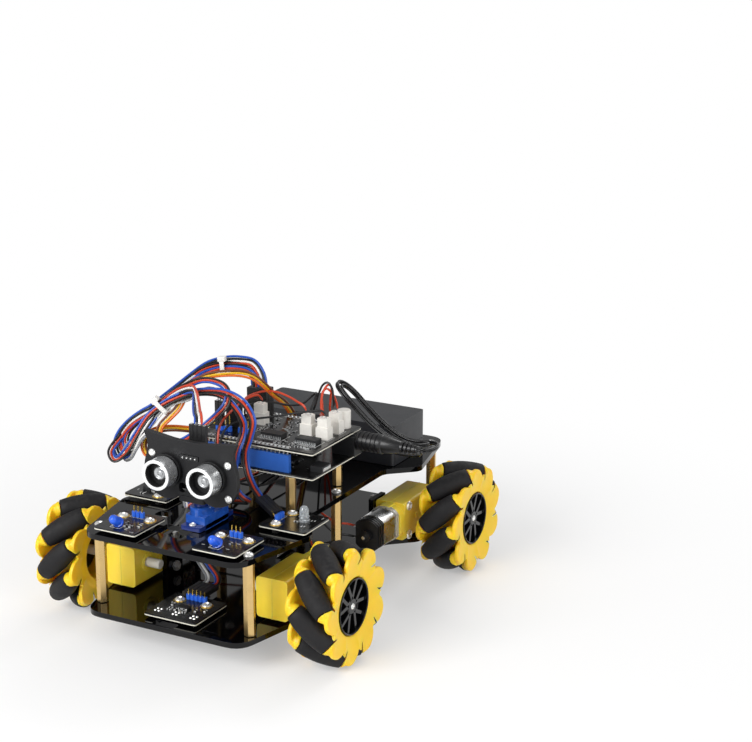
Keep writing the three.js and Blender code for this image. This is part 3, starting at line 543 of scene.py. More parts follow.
def foldTurn(middle, way, radius, across, shares):
    turned = []
    for share in shares:
        reach = way * abs(radius) * math.sin(share * math.pi)
        turned.append(middle + reach + foldAcross * (across + radius * math.cos(share * math.pi)))
    return turned


def foldLoop(radius):
    topWay = (foldSpine[-1] - foldSpine[-2]).normalized()
    inner = foldSpine[1:-1]
    far = [p + foldAcross * radius for p in inner]
    near = [p - foldAcross * radius for p in reversed(inner)]
    return far + foldTurn(foldSpine[-1], topWay, radius, 0, (0, 0.25, 0.5, 0.75, 1)) + near


def leadPath():
    inside = leadLook["foldRadius"]
    outer = inside + leadLook["foldPitch"]
    lowWay = (foldSpine[0] - foldSpine[1]).normalized()
    between = (outer + inside) / 2
    intoFold = [(2.1, 0, 0), (4.6, 2.4, -0.1), (5.4, 7.4, -0.3), (4.4, 13.4, -0.9), (1.2, 19.4, -1.9),
                (-4.4, 23.9, -3.2), (-10.5, 25.4, -4.4)]
    outOfFold = [(-11, 11.8, -3.4), (-7.8, 15.2, -7.2), (-10.5, 21.4, -10.6), (-18, 26.9, -13.4),
                 (-29, 31.4, -15.4)]
    wall = Vector((41.6, 52.2, 76.1))
    return [
        leadStart,
        *(leadStart + Vector(p) for p in intoFold),
        *foldLoop(outer),
        *foldTurn(foldSpine[0], lowWay, -between, (inside - outer) / 2, (0.05, 0.27, 0.5, 0.73, 0.95)),
        *foldLoop(inside),
        *(leadStart + Vector(p) for p in outOfFold),
        wall + Vector((3.5, -8, 0.4)),
        wall + Vector((0, -2.1, 0)),
        wall,
    ]


makeCord(
    "battery_lead_cord", leadPath(), [leadVinyl, leadVinyl], leadLook["radius"], (0, 0, 1), leadLook["pitch"],
    nodes="battery_lead", slot="black_cover", farEnd="object", sides=10, stiffness="medium",
)

# Ribbons of thin wires: from the driver board over the top, round the left side and back to each small board
ribbonLook = {"radius": 0.66, "pitch": 1.26, "wander": 0.22, "housing": 2.6, "housingLength": 14}


def makeHousing(name, wide, at, out, across, body="chassis"):
    # black crimp housing: at is the end that the wires enter, and out the way from the pins to the wires
    look = ribbonLook
    out, across = Vector(out).normalized(), Vector(across).normalized()
    thick = out.cross(across)
    at = Vector(at)
    place = Matrix((across, thick, out)).transposed().to_4x4()
    place.translation = at - out * look["housingLength"]
    bm = bmesh.new()
    for x in pinSteps(wide):
        addPlate(bm, roundedBox(x, 0, 2.5, look["housing"], 0.3), 0, look["housingLength"], 0, place=place)
        addBlock(bm, (1.1, 0.3, 3.4), (x, look["housing"] / 2 - 0.05, look["housingLength"] * 0.42), 1, place)
        addBlock(bm, (1.5, 1.5, 0.5), (x, 0, look["housingLength"] - 0.3), 1, place)
    return makePiece(name, bm, [headerBlack, tinned], body, (), 0.12)


def makeRibbon(name, points, colours, plug=None, side=(1, 0, 0), **more):
    # a ribbon with the housing on its far end; plug is (pins, outward way, way across the pins)
    look = ribbonLook
    held = []
    if plug:
        wide, out, *rest = plug
        at = Vector(points[-1]) - Vector(out).normalized() * 0.4
        held = [makeHousing(name + "_plug", wide, at, out, *rest)]
    return makeCord(name, points, [wires[c] for c in colours], look["radius"], side, look["pitch"],
                    withPieces=held, farEnd="plug" if plug else "object", wander=look["wander"], **more)


archPlaces = [
    (-18.5, 5.6, 126.2), (-26, 3.4, 127.4), (-33, 0, 127), (-41, -4.6, 124.6), (-46.6, -12, 119.8),
    (-49.4, -22, 115.4), (-50.4, -32, 112.3),
]
loopPlaces = [
    (-54.4, -39.4, 108.8), (-60.4, -41, 105.2), (-68.6, -43, 98.8), (-74.6, -44.6, 91), (-76, -46, 84.6),
    (-73, -47.6, 80.2), (-67.6, -49, 80.6), (-62, -49, 85.4), (-57.6, -47.2, 93), (-53.6, -44, 101),
]
loopMiddle = Vector((-63, -45.5, 93.5))


def arch(sink=0.0, back=0.0):
    return [Vector(p) + Vector((0, back, -sink)) for p in archPlaces]


def leftLoop(share, back=0.0):
    return [loopMiddle + (Vector(p) - loopMiddle) * share + Vector((0, back, 0)) for p in loopPlaces]


receiverRoute = [
    (-14, 7, 114.9), (-14, 7, 116), (-14.3, 7, 119), (-18, 6.5, 123), (-26, 4, 125.5), (-35, -1, 125.5),
    (-44, -8, 122.5), (-50, -15, 116), (-57, -25, 108), (-66, -36, 99), (-73, -45, 90), (-75, -52, 83),
    (-70, -55, 80), (-64, -53, 85), (-60, -49, 94), (-54, -44, 105), (-45, -40, 112.5), (-32, -37, 119),
    (-18, -37.5, 122.5), (-4, -40.5, 123.5), (7, -42.5, 120), (13.2, -44, 112), (11.8, -44.8, 103),
    (9, -45.3, 94), (9.8, -45.6, 85), (14.5, -47.8, 77.5), (22, -52, 73),
]
sensorRoute = [
    (-10.9, 5, 114.7), (-10.9, 5, 117.5), (-12.6, 5.6, 122), *arch(-0.8, 1.4), *leftLoop(0.92),
    (-48.6, -38.6, 110.4), (-41, -37.4, 116.8), (-34, -37.6, 120.6), (-27.4, -40, 122.6),
    (-20.4, -48, 122.8), (-13.1, -58, 120.8), (-6, -68, 120.4), (-1, -74.4, 121), (0.9, -77, 119.8),
    (1, -77.4, 117.6),
]
buzzerRoute = [
    (-13.8, 2.4, 114.7), (-13.8, 2.4, 117), (-16, 2.8, 121), (-21, 2.4, 123.4), *arch(3.4, -1.4)[2:],
    *leftLoop(0.62, 2), (-47.6, -36.6, 111.2), (-42, -35.8, 116.6), (-36.4, -35.6, 121),
    (-30.4, -36, 124.6), (-23.4, -36, 127.2), (-16.3, -36, 127.6), (-9.6, -36, 125.6), (-7, -36.6, 120.8),
    (-7.4, -38.4, 116.2), (-10.8, -42, 110.9), (-14.6, -46, 106.6), (-20, -48, 101.8), (-27.4, -49, 96.4),
    (-33.6, -49.4, 92.6), (-36.2, -49.5, 88.6), (-36.5, -49.5, 82.6),
]
trackerRoute = [
    (-16.8, 5, 114.7), (-16.8, 5, 117), (-18, 5.6, 120.6), (-22, 4, 124), *arch(2.6, -0.6)[2:],
    *leftLoop(0.78, 1), (-48.8, -37.4, 108.6), (-40.6, -36.4, 114.4), (-31, -35.6, 118.6),
    (-21, -35, 120.4), (-12.6, -35.2, 120), (-6.4, -36, 117.4), (1.1, -38, 111.6), (6.1, -42, 107.2),
    (7.2, -45.6, 102.4), (6, -48.6, 96), (4.6, -49, 88), (4.4, -49.2, 80), (6.2, -50.6, 74.2),
    (9.6, -50.6, 70.6), (12.2, -48.6, 68), (9.6, -44.8, 66.2), (1, -45.2, 65.4), (-10, -49.6, 64.8),
    (-18, -54.6, 64.2), (-21.9, -57, 60.6), (-21, -58, 54), (-16, -58.4, 42), (-8, -57.6, 31),
    (-2.4, -58.4, 25.4), (0, -62, 23.5), (0.2, -66.4, 23.4),
]
markerRoute = [
    (-18.1, -28.3, 114.8), (-18.1, -28.3, 117), (-19.8, -28.6, 119.8), (-24.4, -29.4, 120.4),
    (-30, -30.6, 117.6), (-36, -32, 113.6), (-41.6, -36, 111.8), (-47.2, -39.6, 107.8), (-55.3, -43, 97.8),
    (-61.4, -45, 91.7), (-67.4, -47, 86.4), (-69, -48.4, 82), (-67, -49.4, 79), (-63.4, -49.8, 80.4),
    (-59.6, -49.4, 86.4), (-56, -48.2, 92.6), (-52.4, -47.2, 95.6), (-48.4, -47.2, 94.4),
    (-44.6, -48.2, 90), (-38.6, -50.6, 82.4), (-31, -53.8, 74.4), (-24.6, -56.2, 67), (-22.1, -57.2, 60.6),
    (-22, -59, 52), (-19, -59.4, 40), (-13, -58.4, 30), (-8.4, -59.2, 25), (-6.6, -62.4, 23.5),
    (-6.2, -66.4, 23.4),
]
servoRoute = [
    (-36, -27.4, 94.6), (-38, -27.6, 94.6), (-41, -29.8, 95.2), (-44.6, -34, 96.2), (-48, -38, 96.6),
    (-53.2, -41, 95.2), (-57.6, -43.4, 91), (-57.6, -45, 86), (-54.6, -45.8, 82.8), (-50.6, -45, 84.8),
    (-48.8, -43.6, 90.4), (-48.4, -41.6, 98.4), (-44.1, -39, 104), (-40.3, -36, 108.9), (-39.6, -30, 114.6),
    (-37.3, -26, 120.4), (-32.8, -22, 123.8), (-24.7, -18, 126), (-13.1, -14, 126.8), (-8, -10, 124.6),
    (-4, -6, 120), (-1, 0, 113), (0.6, 8, 106.4), (1.2, 15.6, 98), (1, 23, 84), (0.4, 31, 68), (0, 34, 57),
    (0, 27, 49), (1, 6, 45), (1.5, -24, 45), (1.5, -46, 47.6), (1.5, -56, 49.8), (1.5, -60.5, 50),
]
makeRibbon("receiver_ribbon", receiverRoute, ["blue", "red", "black"],
           (3, (-13.2, 4.4, 5.4), (0.3, 0.95, 0)), flatTo=facing, nodes="wire_loom")
makeRibbon("sensor_ribbon", sensorRoute, ["red", "white", "black", "blue"],
           (4, (0, 0, 1), (1, 0, 0), "sensor_head"), flatTo=facing,
           bend=(Vector((-20.4, -48, 122.8)), Vector((1, -77, 119.5))))
makeRibbon("buzzer_ribbon", buzzerRoute, ["black", "red", "blue"], (3, (0, 0, 1), (0, 1, 0)), flatTo=facing)
makeRibbon("tracker_ribbon", trackerRoute, ["blue", "red", "black"], (3, (0, 1, 0), (1, 0, 0)), flatTo=facing)
makeRibbon("marker_ribbon", markerRoute, ["white", "grey"], (2, (0, 1, 0), (1, 0, 0)), flatTo=facing)
makeRibbon("servo_lead", servoRoute, ["orange", "yellow", "brown"], flatTo=facing)
makeHousing("marker_strip_plug", 2, (-18.1, -28.3, 114.4), (0, 0, 1), (1, 0, 0))
makeHousing("servo_strip_plug", 3, (-35.6, -27.4, 94.6), (-1, 0, 0), (0, 1, 0))

# Motor leads: a red and a black wire each, from the white sockets back over the board and down to the motors
hatch = 34  # the hatch in the upper deck that they go down through
motorTerminal = {"x": 39.4, "y": 21.4, "z": 32, "apart": 3.4}


def belowDeck(start, side, end, up):
    look = motorTerminal
    x, z = side * look["x"], look["z"] + up * look["apart"]
    far = [(side * 30, end * 14, z + 3), (side * 34.6, end * 19.4, z + 1), (x, end * look["y"], z)]
    return [(start, hatch, 57.4), (side * 8, 27, 49.4 + up), (side * 18, 10 + end * 3, 43.4 + up * 2), *far]


motorLeads = {
    "rear_left_red": ("red", -7.4, -1, 1, 1, [
        (27.8, -13.3, 111.4), (26.2, -13, 113.6), (21.6, -11.6, 114.8), (14.9, -8.8, 115.8),
        (5.4, -5.6, 116.4), (-4.4, -2.4, 114.9), (-14.3, 0, 111.2), (-21.9, 3.4, 106.2), (-24.4, 9, 98),
        (-24, 15, 88), (-18.6, 24, 76)]),
    "rear_left_black": ("black", -6, -1, 1, -1, [
        (30.3, -13.3, 111.4), (31.6, -11, 117), (30.6, -7, 120), (26.4, -5, 117), (21.6, -6.8, 112.6),
        (13.1, -7.6, 110.8), (3, -4.4, 109.8), (-7.3, -1.4, 108), (-16.5, 0, 104.6), (-23.2, 4.6, 99),
        (-24.8, 11, 90), (-20, 22, 77)]),
    "front_right_red": ("red", 9.8, 1, -1, 1, [
        (38.5, -14.8, 111.4), (37.4, -13.6, 117), (37.6, -11.6, 123), (38.6, -8.6, 126), (38.4, -4.4, 124),
        (36.4, -1.4, 118), (34.4, 1, 110), (31.6, 7, 104.4), (27, 14, 101), (24, 21, 92), (17, 30, 72)]),
    "front_right_black": ("black", 6.6, 1, -1, -1, [
        (41, -14.8, 111.4), (39.6, -17.4, 114), (33, -19.6, 113.2), (24, -21.6, 111.2), (13, -26, 109),
        (3, -32, 107.6), (-5.4, -38.6, 105), (-8, -43, 98), (-6.2, -43.6, 88), (-4, -41, 76), (4, -28, 69),
        (8, 0, 66.4), (7.4, 24, 64)]),
    "rear_right_red": ("red", 11.2, 1, 1, 1, [
        (41, -2.3, 111.4), (41, -3.4, 115), (40.4, -6.4, 120.6), (38.4, -9.4, 124.2), (35.8, -9.6, 121.4),
        (34.8, -8, 114), (33, -4, 107.4), (28.4, 3, 103.4), (22.6, 11, 101.6), (20, 19, 92), (14, 30, 72)]),
    "rear_right_black": ("black", 8.2, 1, 1, -1, [
        (38.6, -2.6, 111.4), (40.4, -5, 114.4), (41.4, -7.4, 119), (40.9, -8, 124.4), (38.5, -8, 127.2),
        (35.4, -8, 125.6), (32.2, -7.6, 119.3), (29, -6, 112), (24, 0, 106.6), (18, 10, 102.8),
        (15.4, 17, 95), (12, 26, 79)]),
    "front_left_red": ("red", -10.4, -1, -1, 1, [
        (-3.4, -7.8, 111.4), (-4, -11.4, 115), (-6.4, -20, 114.6), (-9, -30, 110.6), (-11, -38.6, 104.6),
        (-10, -43, 96), (-8.4, -43.4, 86), (-8, -40, 75), (-10, -26, 68.6), (-11, 0, 66.4), (-10.6, 24, 64)]),
    "front_left_black": ("black", -8.8, -1, -1, -1, [
        (-5.8, -7.8, 111.4), (-7.2, -11, 113.4), (-9.4, -19, 112), (-11.6, -29, 107.8), (-12.6, -37.6, 103),
        (-11.8, -42.6, 95), (-10.2, -43.2, 85), (-9.8, -39, 74.6), (-9, -24, 68), (-9.2, 0, 65),
        (-9, 24, 63)]),
}
for name, (colour, drop, side, end, up, above) in motorLeads.items():
    route = above + belowDeck(drop, side, end, up)
    makeCord("motor_lead_" + name, route, [wires[colour]], 0.62, farEnd="object", slot="black_cover")

# White ties round the bundle, at the top of the arch and beside the left loop
tieLook = {"strap": 2.4, "thick": 0.9, "head": 4.2}


def makeTie(name, at, along, size):
    along = Vector(along).normalized()
    upward = (Vector((0, 0, 1)) - along * along.z).normalized()
    place = Matrix((along.cross(upward), upward, along)).transposed().to_4x4()
    place.translation = Vector(at) - along * tieLook["strap"] / 2
    outer = roundedBox(0, 0, size[0] + 2 * tieLook["thick"], size[1] + 2 * tieLook["thick"], 2.6)
    bm = bmesh.new()
    addPlate(bm, outer, 0, tieLook["strap"], 0, holes=[roundedBox(0, 0, size[0], size[1], 2)], place=place)
    lock = roundedBox(size[0] * 0.2, size[1] / 2 + 1, tieLook["head"], 2.6, 0.4)
    addPlate(bm, lock, -0.9, tieLook["strap"] + 0.9, 0, place=place)
    makePiece(name, bm, [tieWhite], "chassis", bevel=0.15)


makeTie("arch_tie", (-33.4, -0.6, 125.2), (0.94, 0.3, 0.1), (4.6, 6.6))
makeTie("loop_tie", (-49.4, -38, 109.6), (0.62, 0.3, 0.7), (8.4, 8.2))
print("cords made")

# Wheels
wheel = {"radius": 32, "width": 25.5, "track": 158, "base": 144, "rollers": 9, "rollerMid": 6.3,
         "inset": 0.6, "room": 5.9, "drum": 19.4, "recess": 15.3, "lobeRoot": 23.4, "lobeTip": 30.6,
         "dish": 2.2}
axisRadius = wheel["radius"] - wheel["rollerMid"]
corners = {
    "front_left": {"side": -1, "y": -wheel["base"] / 2, "twist": 1, "start": -16},
    "front_right": {"side": 1, "y": -wheel["base"] / 2, "twist": 1, "start": 1},
    "rear_left": {"side": -1, "y": wheel["base"] / 2, "twist": -1, "start": 0},
    "rear_right": {"side": 1, "y": wheel["base"] / 2, "twist": -1, "start": 10},
}


def wheelMiddle(corner):
    return Vector((corner["side"] * wheel["track"] / 2, corner["y"], wheel["radius"]))


def barrelRadius(along):
    return wheel["radius"] - math.hypot(axisRadius, along / math.sqrt(2))


def rollerHalf():
    reach = math.sqrt(2) * (wheel["width"] / 2 - wheel["inset"])
    half = reach
    for _ in range(12):
        half = reach - barrelRadius(half)
    return half


def rollerAxis(corner, index):
    angle = math.radians(corner["start"] - 90 + index * 360 / wheel["rollers"])
    middle = Vector((0, math.cos(angle), math.sin(angle))) * axisRadius
    way = Vector((corner["side"], -math.sin(angle) * corner["twist"], math.cos(angle) * corner["twist"]))
    return wheelMiddle(corner) + middle, way.normalized()


def makeRoller(name, corner, index):
    middle, way = rollerAxis(corner, index)
    half = rollerHalf()
    stations = 9
    swell = [-half + 0.4 + (2 * half - 0.8) * i / (stations - 1) for i in range(stations)]
    barrel = [(s, barrelRadius(s)) for s in swell]
    start = [(-half + 0.9, 1.8), (-half + 0.8, 2.9), (-half, 3.3), (-half, barrelRadius(half) - 0.5),
             (-half + 0.15, barrelRadius(half) - 0.15)]
    end = [(-s, r) for s, r in reversed(start)]
    bm = bmesh.new()
    addTurned(bm, [(-half + 0.9, 0), *start, *barrel, *end, (half - 0.9, 0)], middle, way, 0, 30)
    piece = f"roller_{name}_{index + 1}"
    makePiece(piece + "_rubber", bm, [rollerRubber], piece, piece, bevel=0)


def addLobedPlate(bm, corner, end):
    # the bowl-shaped side of the hub, with a lobe over each roller's end
    middle = wheelMiddle(corner)
    outward = corner["side"] * end
    lean = corner["twist"] * end * math.atan((wheel["width"] / 2 - 0.8) / axisRadius)
    perLobe, across = 14, 6
    count = wheel["rollers"] * perLobe
    face = wheel["width"] / 2 - 0.05
    points, faces = [], []
    for i in range(count):
        u = i / perLobe - 0.5
        swell = abs(math.cos(math.pi * u)) ** 0.75
        rim = wheel["lobeRoot"] + (wheel["lobeTip"] - wheel["lobeRoot"]) * swell
        angle = math.radians(corner["start"] - 90) + lean + u * 2 * math.pi / wheel["rollers"]
        outer, inner = [], []
        for k in range(across):
            share = k / (across - 1)
            radius = wheel["recess"] + 0.1 + (rim - wheel["recess"] - 0.1) * share
            level = face - wheel["dish"] * (1 - share) ** 1.5
            outer.append((radius, level))
            inner.append((radius, level - (3.6 - 1.2 * share)))
        along, up = math.cos(angle), math.sin(angle)
        for radius, level in outer + inner[::-1]:
            points.append(middle + Vector((outward * level, radius * along, radius * up)))
    around = 2 * across
    for i in range(count):
        j = (i + 1) % count
        for k in range(around):
            m = (k + 1) % around
            quad = (i * around + k, j * around + k, j * around + m, i * around + m)
            faces.append(quad if outward < 0 else tuple(reversed(quad)))
    addFaces(bm, points, faces)


def addLobesAndRooms(bm, rooms, corner):
    # a hood over each roller's ends, and the straight notches that the ends turn in
    half = rollerHalf()
    reach = half + 0.35
    hood = [(0.35, 0), (0.35, 4.5), (1.2, 4.2), (2.2, 3.5), (3.2, 2.5), (3.9, 1.4), (4.3, 0)]
    for index in range(wheel["rollers"]):
        middle, way = rollerAxis(corner, index)
        for end in (-1, 1):
            addTurned(bm, [(half + s, r) for s, r in hood], middle, way * end, 0, 18)
        addTurned(rooms, [(0, wheel["room"]), (2 * reach, wheel["room"])], middle - way * reach, way, 0, 32)


def meshObject(name, bm):
    mesh = bpy.data.meshes.new(name)
    bm.to_mesh(mesh)
    bm.free()
    made = bpy.data.objects.new(name, mesh)
    scene.collection.objects.link(made)
    return made


def moulded(bm, rooms, voxel, rounds):
    # the joined, softly blended skin of overlapping shapes, with the rooms cut out of it
    rough, cutter = meshObject("joined", bm), meshObject("rooms", rooms)
    join = rough.modifiers.new("join", "REMESH")
    join.mode = "VOXEL"
    join.voxel_size = voxel
    soften = rough.modifiers.new("soften", "SMOOTH")
    soften.factor = 0.5
    soften.iterations = rounds
    notch = rough.modifiers.new("notches", "BOOLEAN")
    notch.operation = "DIFFERENCE"
    notch.solver = "MANIFOLD"
    notch.object = cutter
    seen = rough.evaluated_get(bpy.context.evaluated_depsgraph_get())
    made = bmesh.new()
    made.from_mesh(bpy.data.meshes.new_from_object(seen))
    for used in (rough, cutter):
        bpy.data.objects.remove(used)
    for face in made.faces:
        face.smooth = True
        face.material_index = 0
    return made


def makeHub(name, corner):
    middle = wheelMiddle(corner)
    side = Vector((corner["side"], 0, 0))
    bm, rooms = bmesh.new(), bmesh.new()
    for end in (-1, 1):
        addLobedPlate(bm, corner, end)
    addLobesAndRooms(bm, rooms, corner)
    inner = wheel["width"] / 2 - 1
    recess, drum = wheel["recess"], wheel["drum"]
    ring = [(-inner, recess), (-inner, drum), (inner - 1.5, drum), (inner - 1.5, recess), (-inner, recess)]
    addTurned(bm, ring, middle, side, 0, 64)
    skin = moulded(bm, rooms, 0.6, 3)
    makePiece(f"hub_{name}_moulding", skin, [hubYellow], "wheel_" + name, "wheel_hub_" + name,
              0)
    makeInsert(name, middle, side)


insertLook = {"spokes": 5, "spread": 0.34, "level": 10.2, "floor": 5.2, "boss": 4.6, "shaftEnd": 29.3}


def makeInsert(name, middle, side):
    # black cap in the hub's recess, with forked spokes, and the white shaft behind it
    look = insertLook
    bm = bmesh.new()
    wall = wheel["recess"] - 0.25
    floor, level, boss = look["floor"], look["level"], look["boss"]
    cup = [(floor - 1, 0), (floor - 1, wall), (level + 0.6, wall), (level + 0.9, wall - 0.3),
           (level + 0.6, wall - 0.9), (floor + 0.6, wall - 1.3), (floor, wall - 2.2), (floor, 0)]
    addTurned(bm, cup, middle, side, 0, 56)
    nave = [(floor - 0.5, boss), (level - 1, boss - 0.2), (level - 0.4, boss - 0.8), (level - 0.4, 0)]
    addTurned(bm, nave, middle, side, 0, 28)
    for k in range(look["spokes"]):
        angle = k * 2 * math.pi / look["spokes"] + 0.3
        for fork in (-1, 1):
            far = angle + fork * look["spread"]
            tip = Vector((0, math.cos(far), math.sin(far))) * (wall - 0.7)
            root = Vector((0, math.cos(angle), math.sin(angle))) * boss * 0.8
            addSpoke(bm, middle, side, root, tip, floor - 0.4, level - 0.6)
    addScrew(bm, middle + side * (level - 0.6), side, 1.7, 0.9, 1)
    start = -(wheel["track"] / 2 - look["shaftEnd"])
    shaft = [(start, 2.2), (start + 0.4, 2.65), (floor - 1.2, 2.65), (floor - 1.2, 0)]
    addTurned(bm, shaft, middle, side, 2, 20)
    makePiece(f"insert_{name}", bm, [insertBlack, screwSteel, shaftWhite], "wheel_" + name, (),
              0.15)


def addSpoke(bm, middle, side, root, tip, low, high):
    run = (tip - root).normalized()
    across = run.cross(side).normalized()
    points = []
    for along, half in ((root, 1.5), (tip, 1.25)):
        for level in (low, high):
            for way in (-1, 1):
                slope = half * (1 if level == low else 0.7)
                points.append(middle + along + side * level + across * slope * way)
    faces = [(0, 1, 3, 2), (4, 6, 7, 5), (0, 2, 6, 4), (1, 5, 7, 3), (2, 3, 7, 6), (0, 4, 5, 1)]
    start = len(bm.faces)
    addFaces(bm, points, faces)
    bm.faces.ensure_lookup_table()
    bmesh.ops.recalc_face_normals(bm, faces=bm.faces[start:])


for name, corner in corners.items():
    makeHub(name, corner)
    for index in range(wheel["rollers"]):
        makeRoller(name, corner, index)
print("wheels made")

# Gear motors
motor = {"x": 47.7, "width": 18.8, "height": 22.4, "length": 37, "shaftFromEnd": 11.7, "neck": 5,
         "neckRadius": 10.6, "can": 17, "canRadius": 10, "flats": 15.2, "cap": 11, "capRadius": 9.2,
         "screwFromShaft": 20.6, "screwSpacing": 17.5}


def flatted(radius, flats, steps=10):
    # outline of a round bar with a flat on each side; the first number is across, the second is up
    half = flats / 2
    turn = math.acos(half / radius)
    arc = [turn + (math.pi - 2 * turn) * i / steps for i in range(steps + 1)]
    upper = [(radius * math.cos(a), radius * math.sin(a)) for a in arc]
    return upper + [(-x, -y) for x, y in upper]


def alongY(x, z):
    # places an outline drawn in x and y as x and z, with its height along -y
    return Matrix.Translation((x, 0, z)) @ Matrix(((1, 0, 0), (0, 0, -1), (0, 1, 0))).to_4x4()


def makeMotor(name, corner):
    inward = -1 if corner["y"] > 0 else 1
    side = corner["side"]
    x, middle = side * motor["x"], wheel["radius"]
    boxStart = -motor["shaftFromEnd"]
    boxEnd = motor["length"] - motor["shaftFromEnd"]
    canStart = boxEnd + motor["neck"]
    canEnd = canStart + motor["can"]
    can, cap, neck, flats = motor["canRadius"], motor["capRadius"], motor["neckRadius"], motor["flats"]
    yellow, steel, black, clear, bright = range(5)  # places in the list of materials
    bars = [  # outline, start and end from the wheel's axis, finish
        (roundedBox(0, 0, motor["width"], motor["height"], 2.2), boxStart, boxEnd, yellow),
        (roundedBox(0, 0, 0.5, motor["height"] + 0.3, 0.1), boxStart - 0.15, boxEnd + 0.1, yellow),
        (flatted(neck, motor["width"]), boxEnd - 0.2, canStart, yellow),
        *((roundedBox(0, up * neck * 0.94, 6, 1.8, 0.4), boxEnd, canStart + 2, yellow)
          for up in (-1, 1)),  # clips
        (flatted(can, flats), canStart - 0.2, canEnd, steel),
        (flatted(can + 0.7, flats + 1.4), canStart + 0.4, canStart + 2.6, clear),  # strap
        (flatted(cap, flats - 1), canEnd - 0.2, canEnd + 6.5, black),
        *((flatted(cap + 0.5, flats - 0.2), canEnd + 0.6 + k * 2, canEnd + 1.5 + k * 2, black)
          for k in range(3)),
        (circle(0, 0, 3.4), canEnd + 6, canEnd + 9, black),
        (circle(0, 0, 1), canEnd + 8, canEnd + motor["cap"], steel),
        *((roundedBox(-side * (flats / 2 + 0.5), up * 3.4, 2.4, 0.5, 0.1), canEnd + 2, canEnd + 4.6, bright)
          for up in (-1, 1)),  # terminals
    ]
    bm = bmesh.new()
    for outline, start, end, finish in bars:
        near, far = sorted(-(corner["y"] + inward * d) for d in (start, end))
        addPlate(bm, outline, near, far, finish, place=alongY(x, middle))
    face = side * motor["width"] / 2
    for up in (-1, 1):  # screws that go through the box and the bracket, with their nuts
        along = corner["y"] + inward * motor["screwFromShaft"]
        at = Vector((x + face, along, middle + up * motor["screwSpacing"] / 2))
        addScrew(bm, at, (side, 0, 0), 2.7, 1.8, bright)
        addRound(bm, 1.4, at - Vector((face * 2 + side * 3.4, 0, 0)), at, bright, 12)
        nut = at - Vector((face * 2 + side * 3.6, 0, 0))
        addTurned(bm, [(0, 2.9), (2, 2.9)], nut, (-side, 0, 0), bright, 6)
    for end in (-1, 1):  # bearing boss round the shaft, and a locating pip
        out = Vector((end, 0, 0))
        centre = Vector((x + end * motor["width"] / 2, corner["y"], middle))
        ring = [(-0.4, 5.2), (0.4, 5.2), (0.7, 4.9), (0.7, 3.4), (-0.4, 3.3)]
        addTurned(bm, ring, centre, out, yellow, 28)
        pip = centre + Vector((0, inward * 11, 0))
        addRound(bm, 1.8, pip - out * 0.2, pip + out * 0.9, yellow, 16)
    makePiece(f"gearbox_{name}", bm, [gearboxYellow, motorSteel, capBlack, strapClear, screwSteel], "chassis",
              "gear_motor_" + name, 0.35)


for name, corner in corners.items():
    makeMotor(name, corner)
print("motors made")

# Decks, their standoffs and brackets
deck = {"length": 230, "corner": 48, "hip": 60, "waist": 43.5, "hipLength": 54, "waistLength": 69,
        "thickness": 3, "cornerRadius": 9, "hipRadius": 4, "lowerTop": 18.8, "upperBottom": 59.1,
        "standoffRadius": 3.1}
upperTop = deck["upperBottom"] + deck["thickness"]
deckFront = deck["length"] / 2
standoffs = [(side * x, y) for side in (-1, 1) for x, y in ((46, -102.3), (38.6, 0), (46, 102.3))]
lowerCuts = [(0, 3.8, 14, 5), (26, 5.5, 9, 2)]
upperCuts = [(-49, 48.5, 18, 4.6), (-22, 58, 3, 7), (-25.5, 42, 9, 7), (0, 149, 26, 10)]
wireOpening = [(-15.5, -97.3, 0.8), (-5.2, -97.3, 0.8), (-5.2, -99.2, 0.6), (2.8, -99.2, 0.8),
               (2.8, -88.2, 0.8), (-5.5, -88.2, 0.6), (-5.5, -84.6, 0.8), (-15.5, -84.6, 0.8)]
servoCut = (1.5, 43.0, 12.8, 23.4)


def deckOutline():
    quarter = [
        (deck["corner"], -deckFront, deck["cornerRadius"]),
        (deck["hip"], deck["hipLength"] - deckFront, deck["hipRadius"]),
        (deck["waist"], deck["waistLength"] - deckFront, deck["hipRadius"]),
    ]
    right = quarter + [(x, -y, r) for x, y, r in reversed(quarter)]
    return roundedOutline(right + [(-x, y, r) for x, y, r in reversed(right)])


def cutOutline(cut):
    x, fromFront, w, d = cut
    return roundedBox(x, fromFront - deckFront, w, d, min(w, d) * 0.3)


def makeLowerDeck():
    bm = bmesh.new()
    bottom = deck["lowerTop"] - deck["thickness"]
    addPlate(bm, deckOutline(), bottom, deck["lowerTop"], 0, holes=[cutOutline(c) for c in lowerCuts])
    for corner in corners.values():  # upright plate that each gear motor is screwed to
        inward = -1 if corner["y"] > 0 else 1
        x = corner["side"] * (motor["x"] - motor["width"] / 2 - 0.3 - 1.5)
        y = corner["y"] + inward * motor["screwFromShaft"]
        top = wheel["radius"] + motor["height"] / 2
        addBlock(bm, (3, 15, top - deck["lowerTop"] + 1), (x, y, deck["lowerTop"] - 1))
    makePiece("lower_deck_plate", bm, [deckAcrylic], "chassis", "lower_deck", 0.3)
    bm = bmesh.new()
    for x, y in standoffs:
        addTurned(bm, [(0, 2.7), (0.4, deck["standoffRadius"]), (39.6, deck["standoffRadius"]), (40, 2.7)],
                  (x, y, deck["lowerTop"]), (0, 0, 1), 0, 6)
        addScrew(bm, (x, y, bottom), (0, 0, -1), 2.8, 1.8, 1)
    makePiece("deck_standoffs", bm, [brass, screwSteel], "chassis", (), 0.15)


boardHoles = [(32.2, -37.7), (33.4, 10.5), (-18.6, -22.5), (-18.6, 5.5)]


